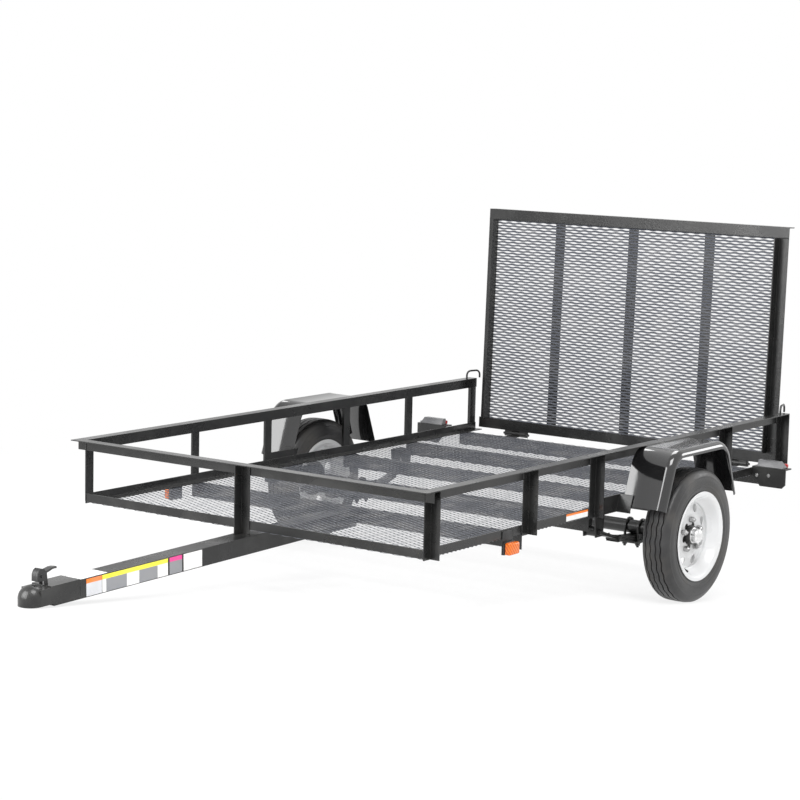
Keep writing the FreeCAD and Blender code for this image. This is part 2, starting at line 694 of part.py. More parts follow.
def gate_latch():
    """Bent latch rod that stands on the side rail and hooks back beside the gate's stile."""
    foot = V(HALF_FRAME + LEG / 2, REAR_END - LATCH_FOOT, RAIL_TOP)
    up = V(0, 0, 1)
    run = V(-LEG / 2, math.sqrt(LATCH_REACH ** 2 - (LEG / 2) ** 2), 0)
    way = run * (1 / LATCH_REACH)
    shoulder = foot + up * LATCH_STEM
    bend = up * (LATCH_BEND * math.sin(math.pi / 4)) + way * (LATCH_BEND * (1 - math.cos(math.pi / 4)))
    crest = shoulder + up * LATCH_BEND + way * LATCH_BEND
    far_crest = crest + way * (LATCH_REACH - 2 * LATCH_BEND)
    far = shoulder + run
    far_bend = bend - way * (2 * bend.dot(way))
    path = [Part.LineSegment(foot, shoulder), Part.Arc(shoulder, shoulder + bend, crest),
            Part.LineSegment(crest, far_crest), Part.Arc(far_crest, far + far_bend, far),
            Part.LineSegment(far, foot + run)]
    section = Part.Wire(Part.makeCircle(LATCH_ROD, foot, up))
    return Part.Wire([piece.toShape() for piece in path]).makePipeShell([section], True, True)


# --- Parking and export -------------------------------------------------------------------

def parked_turn():
    """Angle that lowers the coupler's front rim to the ground about the axle, in degrees."""
    slope = math.radians(TONGUE_SLOPE)
    along = TONGUE_REAR - (BALL_Y - NOSE_RADIUS)
    below = TONGUE_HEIGHT - COUPLER_LIFT
    rim_y = TONGUE_REAR - along * math.cos(slope) + below * math.sin(slope)
    rim_z = UNDER_MESH - along * math.sin(slope) - below * math.cos(slope)
    reach = AXLE_Y - rim_y
    height = rim_z - AXLE_Z
    return math.degrees(math.asin(TYRE_RADIUS / math.hypot(reach, height)) + math.atan2(height, reach))


def all_pieces():
    """Every piece by name, with the deck level."""
    pieces = {name: build() for name, build in BUILDERS}
    for name, front in CROSSMEMBERS:
        pieces[name] = crossmember(front)
    for name, build in SIDED:
        shape = build()
        pieces[name + "_left"] = shape
        pieces[name + "_right"] = mirrored(shape)
    return pieces


def main():
    """Park the pieces, centre them over the ground and write one file each."""
    os.makedirs("parts", exist_ok=True)
    turn = FreeCAD.Placement(V(0, 0, 0), FreeCAD.Rotation(X_AXIS, parked_turn()), V(0, AXLE_Y, AXLE_Z))
    pieces = all_pieces()
    bounds = FreeCAD.BoundBox()
    for shape in pieces.values():
        shape.Placement = turn.multiply(shape.Placement)
        bounds.add(shape.optimalBoundingBox(False, False))
    shift = V(0, -bounds.Center.y, -bounds.ZMin)
    for name, shape in pieces.items():
        shape.translate(shift)
        shape.exportStep("parts/" + name + ".step")
    axle = turn.multVec(V(0, AXLE_Y, AXLE_Z)) + shift
    pivot = turn.multVec(V(0, GATE_PIVOT_Y, GATE_PIVOT_Z)) + shift
    print("turn", parked_turn(), "shift", shift, "axle", axle, "gate pivot", pivot)
    print("size", bounds.XLength, bounds.YLength, bounds.ZLength)


BUILDERS = (
    ("tongue_beam", tongue_beam),
    ("coupler_body", coupler_body),
    ("coupler_lever", coupler_lever),
    ("top_rail_front", top_rail_front),
    ("deck_rail_front", deck_rail_front),
    ("deck_mesh", deck_mesh),
    ("post_front", front_post),
    ("axle_beam", axle_beam),
    ("hinge_straps", hinge_straps),
    ("gate_top", gate_top),
    ("gate_bottom", gate_bottom),
    ("gate_bars", gate_bars),
    ("gate_mesh", gate_mesh),
    ("gate_hinges", gate_hinges),
)
SIDED = (
    ("top_rail", top_rail_side),
    ("deck_rail", deck_rail_side),
    ("posts", posts_side),
    ("leaf_spring", leaf_spring),
    ("spring_hangers", spring_hangers),
    ("spring_clamp", spring_clamp),
    ("tyre", tyre),
    ("rim", rim),
    ("hub", hub),
    ("fender", fender),
    ("fender_bracket", fender_bracket),
    ("lamp_bracket", lamp_bracket),
    ("tail_lamp", tail_lamp),
    ("side_marker", side_marker),
    ("gate_stile", gate_stile),
    ("gate_latch", gate_latch),
)

main()
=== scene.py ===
"""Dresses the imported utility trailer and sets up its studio.

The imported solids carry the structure. This script gives every one of them a painted or plated
finish, and replaces the ones that need a finer form: expanded metal, tyres, wheels, fenders,
leaf springs and lamps. New pieces are drawn in the trailer's level frame, in metres (X to its
left, -Y to its front, Z up from the ground under the tyres), and are then parked with it.
"""
import json
import logging
import math
from dataclasses import dataclass, field
from enum import Enum
from typing import Any, Iterable, Sequence

import bmesh
import bpy
from mathutils import Matrix, Vector


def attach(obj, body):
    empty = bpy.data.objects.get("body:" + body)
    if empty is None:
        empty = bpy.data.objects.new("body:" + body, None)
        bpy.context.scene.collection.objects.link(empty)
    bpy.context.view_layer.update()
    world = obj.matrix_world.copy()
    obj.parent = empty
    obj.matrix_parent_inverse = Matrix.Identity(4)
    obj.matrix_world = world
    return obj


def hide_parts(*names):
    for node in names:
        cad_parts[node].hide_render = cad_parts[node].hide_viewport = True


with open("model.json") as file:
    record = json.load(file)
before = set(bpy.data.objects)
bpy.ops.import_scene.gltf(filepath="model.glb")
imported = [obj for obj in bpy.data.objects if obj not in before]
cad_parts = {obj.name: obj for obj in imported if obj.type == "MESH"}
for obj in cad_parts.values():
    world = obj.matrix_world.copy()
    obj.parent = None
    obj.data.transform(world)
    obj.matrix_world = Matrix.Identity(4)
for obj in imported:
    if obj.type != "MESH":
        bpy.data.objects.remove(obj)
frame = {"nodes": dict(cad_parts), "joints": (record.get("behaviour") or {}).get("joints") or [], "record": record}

LOG = logging.getLogger("utility_trailer")
FRAME_BODY = "trailer_frame"
GATE_BODY = "ramp_gate"

# Stands a section that is drawn in X and Y across the trailer
UPRIGHT = Matrix.Rotation(math.pi / 2, 4, "X")

Colour = tuple[float, float, float, float]
Point = tuple[float, float, float]
Flat = tuple[float, float]
Groups = dict[str, bpy.types.NodeTree]


@dataclass(frozen=True)
class Layout:
    """Sizes that several sub-assemblies share, in the level frame.

    Attributes:
        axle: Y and Z of the axle.
        pivot: Y and Z of the gate's hinge pins.
        frame: Half width of the frame.
        leg: Leg of its angle sections.
        rail_top: Height of the top rail.
        deck_top: Height of the deck rail's top.
        under_deck: Height that the deck's members hang from.
        wheel: X of the wheels' middle plane.
        gate_half: Half width of the gate.
        gate_leg: Leg of the gate's angle sections.
        gate_top: Height of the gate's top over its pins.
        gate_lean: Lean of the gate to the rear, in degrees.
    """

    axle: Flat = (0.253, 0.245)
    pivot: Flat = (1.225, 0.355)
    frame: float = 0.735
    leg: float = 0.038
    rail_top: float = 0.581
    deck_top: float = 0.389
    under_deck: float = 0.355
    wheel: float = 0.866
    gate_half: float = 0.714
    gate_leg: float = 0.044
    gate_top: float = 0.958
    gate_lean: float = 1.9

    def gate_stand(self) -> Matrix:
        """Matrix that leans what is drawn upright over the hinge pins to the gate's rest."""
        return Matrix.Translation((0, *self.pivot)) @ Matrix.Rotation(math.radians(-self.gate_lean), 4, "X")


LEVEL = Layout()


class Side(Enum):
    """The two sides of the trailer, with the sign of their X."""

    LEFT = 1
    RIGHT = -1

    @property
    def label(self) -> str:
        """Word that ends the names of this side's nodes."""
        return self.name.lower()

    @property
    def wheel(self) -> str:
        """Body that this side's wheel turns with."""
        return f"{self.label}_wheel"

    @property
    def matrix(self) -> Matrix:
        """Carries a left-hand shape to this side."""
        return Matrix.Diagonal((self.value, 1, 1, 1))


class Finish(Enum):
    """Finishes by name, each with the record's material slot that it belongs to."""

    BLACK_PAINT = "black_steel"
    FENDER_GLOSS = "gloss_black"
    MESH_PAINT_AND_SHEEN = "mesh"
    WHITE_ENAMEL = "white_wheel"
    ZINC_PLATE = "zinc"
    TREAD_RUBBER = "tyre"
    RED_LENS = "red_lamp"
    AMBER_LENS = "amber_lamp"
    WELD_BEAD = "black_steel weld"
    BRIGHT_CAP = "zinc cap"
    LAMP_HOUSING = "red_lamp housing"
    VINYL_WHITE = "black_steel white vinyl"
    VINYL_SILVER = "black_steel silver vinyl"
    VINYL_GREY = "black_steel grey vinyl"
    VINYL_ORANGE = "black_steel orange vinyl"
    VINYL_YELLOW = "black_steel yellow vinyl"
    VINYL_PINK = "black_steel pink vinyl"

    @property
    def slot(self) -> str:
        """Material slot of the record."""
        return self.value.split()[0]


# --- Shader groups --------------------------------------------------------------------------

@dataclass
class Sketch:
    """Adds and links the nodes of one shader tree.

    Attributes:
        tree: The node tree that is drawn in.
    """

    tree: bpy.types.NodeTree

    def add(self, kind: str, **settings: Any) -> bpy.types.Node:
        """Add one node.

        Args:
            kind: Node type, without its ShaderNode prefix.
            settings: Node properties by name.

        Returns:
            The new node.
        """
        node = self.tree.nodes.new(kind if kind.startswith("NodeGroup") else "ShaderNode" + kind)
        for key, value in settings.items():
            setattr(node, key, value)
        return node

    def feed(self, socket: bpy.types.NodeSocket, value: Any) -> None:
        """Give an input a link or a plain value.

        Args:
            socket: Input socket.
            value: Output socket, or the value itself.
        """
        if isinstance(value, bpy.types.NodeSocket):
            self.tree.links.new(value, socket)
        else:
            socket.default_value = value

    def noise(self, place: bpy.types.NodeSocket, size: Any, detail: float) -> bpy.types.NodeSocket:
        """Noise over a place.

        Args:
            place: Coordinates in metres.
            size: Cells in a metre, as a value or a socket.
            detail: Octaves.

        Returns:
            The noise's value.
        """
        node = self.add("TexNoise")
        self.feed(node.inputs["Vector"], place)
        self.feed(node.inputs["Scale"], size)
        self.feed(node.inputs["Detail"], detail)
        return node.outputs["Fac"]

    def remap(self, value: bpy.types.NodeSocket, low: float, high: float,
              to_low: Any = 0.0, to_high: Any = 1.0) -> bpy.types.NodeSocket:
        """Smooth step between two values.

        Args:
            value: Socket that is read.
            low: Value that gives to_low.
            high: Value that gives to_high.
            to_low: Result at and below low.
            to_high: Result at and above high.

        Returns:
            The result's socket.
        """
        node = self.add("MapRange", interpolation_type="SMOOTHSTEP")
        for name, given in (("Value", value), ("From Min", low), ("From Max", high),
                            ("To Min", to_low), ("To Max", to_high)):
            self.feed(node.inputs[name], given)
        return node.outputs["Result"]

    def sum_up(self, operation: str, first: Any, second: Any) -> bpy.types.NodeSocket:
        """One sum of two numbers.

        Args:
            operation: Math node's operation.
            first: First value or socket.
            second: Second value or socket.

        Returns:
            The result's socket.
        """
        node = self.add("Math", operation=operation)
        self.feed(node.inputs[0], first)
        self.feed(node.inputs[1], second)
        return node.outputs[0]

    def blend(self, mask: Any, first: Any, second: Any) -> bpy.types.NodeSocket:
        """Blend of two colours.

        Args:
            mask: Share of the second colour.
            first: First colour or socket.
            second: Second colour or socket.

        Returns:
            The colour's socket.
        """
        node = self.add("Mix", data_type="RGBA")
        self.feed(node.inputs[0], mask)
        self.feed(node.inputs[6], first)
        self.feed(node.inputs[7], second)
        return node.outputs[2]


def new_group(name: str, takes: Sequence[tuple[str, str]],
              gives: Sequence[tuple[str, str]]) -> tuple[Sketch, Any, Any]:
    """Start a shader group.

    Args:
        name: Name of the group.
        takes: Name and type of each input.
        gives: Name and type of each output.

    Returns:
        The sketch of its tree, its input node's outputs and its output node's inputs.
    """
    tree = bpy.data.node_groups.new(name, "ShaderNodeTree")
    for label, kind in takes:
        tree.interface.new_socket(name=label, in_out="INPUT", socket_type="NodeSocket" + kind)
    for label, kind in gives:
        tree.interface.new_socket(name=label, in_out="OUTPUT", socket_type="NodeSocket" + kind)
    sketch = Sketch(tree)
    return sketch, sketch.add("NodeGroupInput").outputs, sketch.add("NodeGroupOutput").inputs


@dataclass
class SharedEffects:
    """Shader groups that several finishes use, each built once.

    Attributes:
        groups: Finished groups by name.
    """

    groups: Groups = field(default_factory=dict)

    def build(self) -> None:
        """Build every group."""
        for name, maker in (("Sprayed film", self.sprayed_film), ("Road dust", self.road_dust),
                            ("Rounded edges", self.rounded_edges),
                            ("Fine scratches", self.fine_scratches)):
            self.groups[name] = maker(name)

    def sprayed_film(self, name: str) -> bpy.types.NodeTree:
        """Orange peel and slow mottling of sprayed paint.

        Args:
            name: Name of the group.

        Returns:
            The group, with Height and Mottle out.
        """
        sketch, given, out = new_group(name, (("Place", "Vector"), ("Cells", "Float")),
                                       (("Height", "Float"), ("Mottle", "Float")))
        peel = sketch.noise(given["Place"], given["Cells"], 2.0)
        runs = sketch.noise(given["Place"], sketch.sum_up("MULTIPLY", given["Cells"], 0.12), 3.0)
        sketch.feed(out["Height"], sketch.sum_up("ADD", peel, sketch.sum_up("MULTIPLY", runs, 0.6)))
        sketch.feed(out["Mottle"], sketch.remap(sketch.noise(given["Place"], 5.0, 4.0), 0.35, 0.65))
        return sketch.tree

    def road_dust(self, name: str) -> bpy.types.NodeTree:
        """Dust that gathers low down, in patches and fine specks.

        Args:
            name: Name of the group.

        Returns:
            The group, with Colour and Mask out.
        """
        sketch, given, out = new_group(
            name, (("Place", "Vector"), ("Clean", "Color"), ("Dust", "Color"), ("Amount", "Float")),
            (("Colour", "Color"), ("Mask", "Float")))
        split = sketch.add("SeparateXYZ")
        sketch.feed(split.inputs[0], given["Place"])
        low = sketch.remap(split.outputs["Z"], 0.1, 0.75, 1.0, 0.45)
        patches = sketch.remap(sketch.noise(given["Place"], 9.0, 6.0), 0.42, 0.72)
        specks = sketch.remap(sketch.noise(given["Place"], 420.0, 2.0), 0.60, 0.74, 0.0, 0.7)
        both = sketch.sum_up("MAXIMUM", patches, specks)
        mask = sketch.sum_up("MULTIPLY", sketch.sum_up("MULTIPLY", both, low), given["Amount"])
        sketch.feed(out["Colour"], sketch.blend(mask, given["Clean"], given["Dust"]))
        sketch.feed(out["Mask"], mask)
        return sketch.tree

    def rounded_edges(self, name: str) -> bpy.types.NodeTree:
        """Shading normal that rolls over sharp edges, and a mask of where it does.

        Args:
            name: Name of the group.

        Returns:
            The group, with Normal and Mask out.
        """
        sketch, given, out = new_group(name, (("Radius", "Float"),),
                                       (("Normal", "Vector"), ("Mask", "Float")))
        bevel = sketch.add("Bevel", samples=6)
        sketch.feed(bevel.inputs["Radius"], given["Radius"])
        flat = sketch.add("NewGeometry").outputs["Normal"]
        alike = sketch.add("VectorMath", operation="DOT_PRODUCT")
        sketch.feed(alike.inputs[0], bevel.outputs["Normal"])
        sketch.feed(alike.inputs[1], flat)
        sketch.feed(out["Normal"], bevel.outputs["Normal"])
        sketch.feed(out["Mask"], sketch.remap(alike.outputs["Value"], 0.80, 0.99, 1.0, 0.0))
        return sketch.tree

    def fine_scratches(self, name: str) -> bpy.types.NodeTree:
        """Long thin brush marks along one direction.

        Args:
            name: Name of the group.

        Returns:
            The group, with Height out.
        """
        sketch, given, out = new_group(name, (("Place", "Vector"), ("Cells", "Float")),
                                       (("Height", "Float"),))
        stretch = sketch.add("Mapping")
        sketch.feed(stretch.inputs["Vector"], given["Place"])
        stretch.inputs["Scale"].default_value = (1.0, 0.08, 1.0)
        sketch.feed(out["Height"], sketch.noise(stretch.outputs["Vector"], given["Cells"], 3.0))
        return sketch.tree


# --- Finishes -------------------------------------------------------------------------------

@dataclass
class Mix(Sketch):
    """A material while it is mixed.

    Attributes:
        material: The material.
        groups: Shader groups by name.
        shader: Its Principled node.
        place: The object's own coordinates.
    """

    material: bpy.types.Material
    groups: Groups
    shader: bpy.types.Node
    place: bpy.types.NodeSocket

    @classmethod
    def start(cls, name: str, groups: Groups) -> "Mix":
        """Start a material.

        Args:
            name: Name of the material.
            groups: Shader groups by name.

        Returns:
            Its mix, with nothing given to its shader yet.
        """
        material = bpy.data.materials.new(name)
        material.use_nodes = True
        tree = material.node_tree
        place = Sketch(tree).add("TexCoord").outputs["Object"]
        return cls(tree, material, groups, tree.nodes["Principled BSDF"], place)

    def effect(self, name: str, **values: Any) -> Any:
        """Put a shared group into the tree.

        Args:
            name: Name of the group.
            values: Input values or sockets by input name.

        Returns:
            The group's outputs.
        """
        node = self.add("Group", node_tree=self.groups[name])
        for key, value in values.items():
            self.feed(node.inputs[key], value)
        return node.outputs

    def film(self, cells: float) -> Any:
        """Outputs of a sprayed film with so many cells in a metre."""
        return self.effect("Sprayed film", Place=self.place, Cells=cells)

    def dusty(self, clean: Any, dust: Colour, amount: float) -> Any:
        """Outputs of an amount of road dust over a clean colour."""
        return self.effect("Road dust", Place=self.place, Clean=clean, Dust=dust, Amount=amount)

    def between(self, mask: bpy.types.NodeSocket, low: float, high: float) -> bpy.types.NodeSocket:
        """Value that runs from low to high as a mask does from 0 to 1."""
        return self.remap(mask, 0.0, 1.0, low, high)

    def give(self, colour: Any, roughness: Any, **others: float) -> None:
        """Give the shader its inputs.

        Args:
            colour: Base colour.
            roughness: Roughness.
            others: Plain values of other inputs, by name with an underscore for a space.
        """
        self.feed(self.shader.inputs["Base Color"], colour)
        self.feed(self.shader.inputs["Roughness"], roughness)
        for name, value in others.items():
            self.shader.inputs[name.replace("_", " ")].default_value = value

    def bump(self, height: Any, depth: float, strength: float, normal: Any = None) -> None:
        """Give the shader a bump.

        Args:
            height: Socket with the height.
            depth: Height of a whole step, in metres.
            strength: Share of the bump that shows.
            normal: Normal that the bump starts from.
        """
        bump = self.add("Bump")
        for name, value in (("Height", height), ("Distance", depth), ("Strength", strength)):
            self.feed(bump.inputs[name], value)
        if normal is not None:
            self.feed(bump.inputs["Normal"], normal)
        self.feed(self.shader.inputs["Normal"], bump.outputs["Normal"])


@dataclass(frozen=True)
class Recipe:
    """What every finish starts from.

    Attributes:
        finish: Finish that this makes.
    """

    finish: Finish

    def material(self, groups: Groups) -> bpy.types.Material:
        """Make the material.

        Args:
            groups: Shader groups by name.

        Returns:
            The material.
        """
        mix = Mix.start(self.finish.name.lower(), groups)
        self.shade(mix)
        return mix.material

    def shade(self, mix: Mix) -> None:
        """Give the mix's shader its inputs, in each finish's own way."""
        raise NotImplementedError(self.finish.name)


@dataclass(frozen=True)
class SprayedPaint(Recipe):
    """Sprayed enamel on steel.

    Attributes:
        colour: Colour of the paint; for the expanded metal a lighter bluish grey that is a painted reflection of
            the sky.
        dust: Colour of the dust on it.
        amount: Share of the dust.
        roughness: Roughness of the clean film.
        spread: How far the roughness wanders.
        cells: Orange peel cells in a metre.
        peel: Depth of the orange peel, in metres.
        edge: Radius that its edges look rounded to, in metres.
        edge_highlight: Lighter colour along an edge, a painted edge highlight.
        coat: Weight of the clear gloss on top.
        gloss: Roughness of the clear gloss.
        dulling: Roughness that full dust adds.
    """

    colour: Colour
    dust: Colour
    amount: float
    roughness: float
    spread: float
    cells: float
    peel: float
    edge: float
    edge_highlight: Colour
    coat: float = 0.0
    gloss: float = 0.06
    dulling: float = 0.35

    def shade(self, mix: Mix) -> None:
        """Lay the film, paint a highlight along its edges, dust it and gloss it.

        Args:
            mix: Mix of the material.
        """
        film = mix.film(self.cells)
        rounded = mix.effect("Rounded edges", Radius=self.edge)
        # Painted highlight: edges take a lighter colour where the rounded normal bends, in patches that follow the
        # mottle.
        edge_highlight_mask = mix.sum_up("MULTIPLY", rounded["Mask"], film["Mottle"])
        dusty = mix.dusty(mix.blend(edge_highlight_mask, self.colour, self.edge_highlight), self.dust, self.amount)
        rough = mix.between(film["Mottle"], self.roughness - self.spread, self.roughness + self.spread)
        dulled = mix.sum_up("ADD", rough, mix.sum_up("MULTIPLY", dusty["Mask"], self.dulling))
        mix.give(dusty["Colour"], dulled, Coat_Weight=self.coat, Coat_Roughness=self.gloss)
        mix.bump(film["Height"], self.peel, 0.6, rounded["Normal"])


@dataclass(frozen=True)
class PlatedMetal(Recipe):
    """Zinc or chrome plate with fine brush marks.

    Attributes:
        colour: Colour of the metal.
        dull: Colour of its duller patches.
        roughness: Roughness of the bright parts.
        marks: Depth of the brush marks, in metres.
        cells: Brush marks in a metre.
        patches: Dull patches in a metre.
        spread: Roughness that a dull patch adds.
        edge: Radius that its edges look rounded to, in metres.
    """

    colour: Colour
    dull: Colour
    roughness: float
    marks: float
    cells: float = 900.0
    patches: float = 60.0
    spread: float = 0.14
    edge: float = 0.0006

    def shade(self, mix: Mix) -> None:
        """Lay the plate with its patches, and brush it.

        Args:
            mix: Mix of the material.
        """
        patches = mix.remap(mix.noise(mix.place, self.patches, 4.0), 0.4, 0.65)
        marks = mix.effect("Fine scratches", Place=mix.place, Cells=self.cells)
        rounded = mix.effect("Rounded edges", Radius=self.edge)
        mix.give(mix.blend(patches, self.colour, self.dull),
                 mix.between(patches, self.roughness, self.roughness + self.spread), Metallic=1.0)
        mix.bump(marks["Height"], self.marks, 0.5, rounded["Normal"])


@dataclass(frozen=True)
class TreadRubber(Recipe):
    """Black tyre rubber, greyed by dust, with a fine grain.

    Attributes:
        finish: Finish that this makes.
        colour: Colour of clean rubber.
        bloom: Greyer colour of weathered rubber.
        dust: Colour of road dust.
        amount: Share of the dust.
        roughness: Roughness of the sidewall.
        cells: Grains in a metre.
        grain: Depth of the grain, in metres.
    """

    finish: Finish = Finish.TREAD_RUBBER
    colour: Colour = (0.016, 0.016, 0.0165, 1.0)
    bloom: Colour = (0.036, 0.036, 0.037, 1.0)
    dust: Colour = (0.16, 0.145, 0.125, 1.0)
    amount: float = 0.30
    roughness: float = 0.38
    cells: float = 1500.0
    grain: float = 0.00025

    def shade(self, mix: Mix) -> None:
        """Weather the rubber and dust it.

        Args:
            mix: Mix of the material.
        """
        film = mix.film(self.cells)
        dusty = mix.dusty(mix.blend(film["Mottle"], self.colour, self.bloom), self.dust, self.amount)
        mix.give(dusty["Colour"], mix.sum_up("ADD", self.roughness, dusty["Mask"]))
        mix.bump(film["Height"], self.grain, 0.7)


@dataclass(frozen=True)
class LampLens(Recipe):
    """Moulded lens of clear coloured plastic over a ribbed reflector.

    Attributes:
        colour: Colour of the lens.
        groove_shade: Darker colour between its ribs, painted shade in their grooves.
        ribs: Ribs in a metre.
        relief: Depth of the ribs, in metres.
        smooth: Lowest roughness of its face.
        hazy: Highest roughness of its face.
        coat: Weight of the clear gloss on top.
        gloss: Roughness of the clear gloss.
    """

    colour: Colour
    groove_shade: Colour
    ribs: float
    relief: float = 0.0006
    smooth: float = 0.14
    hazy: float = 0.24
    coat: float = 0.25
    gloss: float = 0.04

    def shade(self, mix: Mix) -> None:
        """Rib the lens, paint shade into the grooves between its ribs, and gloss it.

        Args:
            mix: Mix of the material.
        """
        wave = mix.add("TexWave", bands_direction="DIAGONAL")
        mix.feed(wave.inputs["Vector"], mix.place)
        mix.feed(wave.inputs["Scale"], self.ribs)
        rib = wave.outputs["Fac"]
        # Painted shade: the low parts of the ribs' relief take the darker colour.
        mix.give(mix.blend(rib, self.groove_shade, self.colour),
                 mix.between(mix.film(300.0)["Mottle"], self.smooth, self.hazy),
                 Coat_Weight=self.coat, Coat_Roughness=self.gloss)
        mix.bump(rib, self.relief, 0.12)


@dataclass(frozen=True)
class MouldedPlastic(Recipe):
    """Black moulded plastic with a fine leather grain.

    Attributes:
        colour: Colour of the plastic; the lamp housing's grey is a painted reflection of its gloss.
        faded: Colour where it has faded.
        roughness: Roughness of its face.
        spread: Roughness that fading adds.
        cells: Grains in a metre.
        grain: Depth of the grain, in metres.
    """

    colour: Colour
    faded: Colour
    roughness: float
    spread: float = 0.12
    cells: float = 1800.0
    grain: float = 0.0002

    def shade(self, mix: Mix) -> None:
        """Fade the plastic in patches.

        Args:
            mix: Mix of the material.
        """
        film = mix.film(self.cells)
        mix.give(mix.blend(film["Mottle"], self.colour, self.faded),
                 mix.between(film["Mottle"], self.roughness, self.roughness + self.spread))
        mix.bump(film["Height"], self.grain, 0.6)


@dataclass(frozen=True)
class PrintedVinyl(Recipe):
    """Blank vinyl panel: an even print colour, with a satin film and a little grime.

    Attributes:
        colour: Colour of the print.
        grime: Colour of the grime.
        amount: Share of the grime.
        smooth: Lowest roughness of the film.
        rough: Highest roughness of the film.
        relief: Depth of the film's waves, in metres.
    """

    colour: Colour
    grime: Colour = (0.30, 0.29, 0.27, 1.0)
    amount: float = 0.22
    smooth: float = 0.30
    rough: float = 0.42
    relief: float = 0.00008

    def shade(self, mix: Mix) -> None:
        """Lay the film and soil it a little.

        Args:
            mix: Mix of the material.
        """
        film = mix.film(500.0)
        dusty = mix.dusty(self.colour, self.grime, self.amount)
        mix.give(dusty["Colour"], mix.between(film["Mottle"], self.smooth, self.rough))
        mix.bump(film["Height"], self.relief, 0.5)


FINISHES = (
    # Each paint's last colour is the lighter colour of its painted edge highlight.
    SprayedPaint(Finish.BLACK_PAINT, (0.009, 0.0092, 0.0092, 1), (0.10, 0.098, 0.092, 1), 0.16,
                 0.27, 0.05, 240.0, 0.0006, 0.0016, (0.03, 0.03, 0.031, 1)),
    SprayedPaint(Finish.FENDER_GLOSS, (0.008, 0.008, 0.0085, 1), (0.10, 0.098, 0.092, 1), 0.04,
                 0.09, 0.02, 40.0, 0.0003, 0.0008, (0.02, 0.02, 0.021, 1), 0.7),
    # The expanded metal is black paint; its lighter bluish grey is a painted reflection of the sky on the strands.
    SprayedPaint(Finish.MESH_PAINT_AND_SHEEN, (0.092, 0.098, 0.115, 1), (0.34, 0.33, 0.32, 1), 0.36,
                 0.26, 0.06, 600.0, 0.0003, 0.0004, (0.20, 0.205, 0.22, 1)),
    SprayedPaint(Finish.WHITE_ENAMEL, (0.66, 0.665, 0.67, 1), (0.42, 0.40, 0.37, 1), 0.14,
                 0.26, 0.06, 300.0, 0.0003, 0.0012, (0.86, 0.86, 0.85, 1)),
    SprayedPaint(Finish.WELD_BEAD, (0.012, 0.012, 0.0125, 1), (0.10, 0.098, 0.092, 1), 0.12,
                 0.33, 0.06, 900.0, 0.0004, 0.0006, (0.03, 0.03, 0.031, 1)),
    PlatedMetal(Finish.ZINC_PLATE, (0.50, 0.50, 0.50, 1), (0.30, 0.30, 0.30, 1), 0.24, 0.00006),
    PlatedMetal(Finish.BRIGHT_CAP, (0.88, 0.88, 0.88, 1), (0.74, 0.74, 0.74, 1), 0.16, 0.00001),
    TreadRubber(),
    LampLens(Finish.RED_LENS, (0.50, 0.006, 0.006, 1), (0.30, 0.003, 0.004, 1), 30.0),
    LampLens(Finish.AMBER_LENS, (0.82, 0.19, 0.004, 1), (0.50, 0.07, 0.002, 1), 45.0),
    # The housing is black plastic; its grey colour is a painted reflection of its gloss.
    MouldedPlastic(Finish.LAMP_HOUSING, (0.110, 0.111, 0.116, 1), (0.19, 0.19, 0.195, 1), 0.24),
    PrintedVinyl(Finish.VINYL_WHITE, (0.80, 0.80, 0.79, 1)),
    PrintedVinyl(Finish.VINYL_SILVER, (0.60, 0.61, 0.64, 1)),
    PrintedVinyl(Finish.VINYL_GREY, (0.24, 0.245, 0.26, 1)),
    PrintedVinyl(Finish.VINYL_ORANGE, (0.85, 0.20, 0.02, 1)),
    PrintedVinyl(Finish.VINYL_YELLOW, (0.85, 0.78, 0.03, 1)),
    PrintedVinyl(Finish.VINYL_PINK, (0.72, 0.04, 0.26, 1)),
)


# --- Bench ----------------------------------------------------------------------------------

@dataclass(frozen=True)
class Parking:
    """Stance of the trailer, parked nose-down on its coupler.

    Attributes:
        axle: Y and Z of the axle with the deck level.
        pivot: Y and Z of the gate's hinge pins with the deck level.
    """

    axle: Flat = LEVEL.axle
    pivot: Flat = LEVEL.pivot

    def matrix(self, joints: Iterable[dict[str, Any]]) -> Matrix:
        """Carry the level frame onto the parked one.

        Args:
            joints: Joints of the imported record.

        Returns:
            The matrix from level to parked.
        """
        places = {joint["name"]: Vector(joint["pos_m"]) for joint in joints}
        hub, hinge = places["left_wheel_spin"], places["ramp_gate_fold"]
        level = math.atan2(self.pivot[1] - self.axle[1], self.pivot[0] - self.axle[0])
        parked = math.atan2(hinge.z - hub.z, hinge.y - hub.y)
        turn = Matrix.Rotation(parked - level, 4, "X")
        back = Matrix.Translation((0, -self.axle[0], -self.axle[1]))
        return Matrix.Translation((0, hub.y, hub.z)) @ turn @ back


def put(name: str, data: Any) -> bpy.types.Object:
    """Put a mesh, a lamp or a camera into the scene.

    Args:
        name: Name of the object.
        data: What the object shows.

    Returns:
        The object.
    """
    item = bpy.data.objects.new(name, data)
    bpy.context.scene.collection.objects.link(item)
    return item


def cast(bm: bmesh.types.BMesh, name: str) -> bpy.types.Mesh:
    """Turn a bmesh into a mesh.

    Args:
        bm: Mesh in the making; it is freed.
        name: Name of the mesh.

    Returns:
        The mesh.
    """
    mesh = bpy.data.meshes.new(name)
    bm.to_mesh(mesh)
    bm.free()
    return mesh


def evaluated(item: bpy.types.Object) -> bpy.types.Mesh:
    """Mesh of an object as its modifiers leave it."""
    return bpy.data.meshes.new_from_object(item.evaluated_get(bpy.context.evaluated_depsgraph_get()))


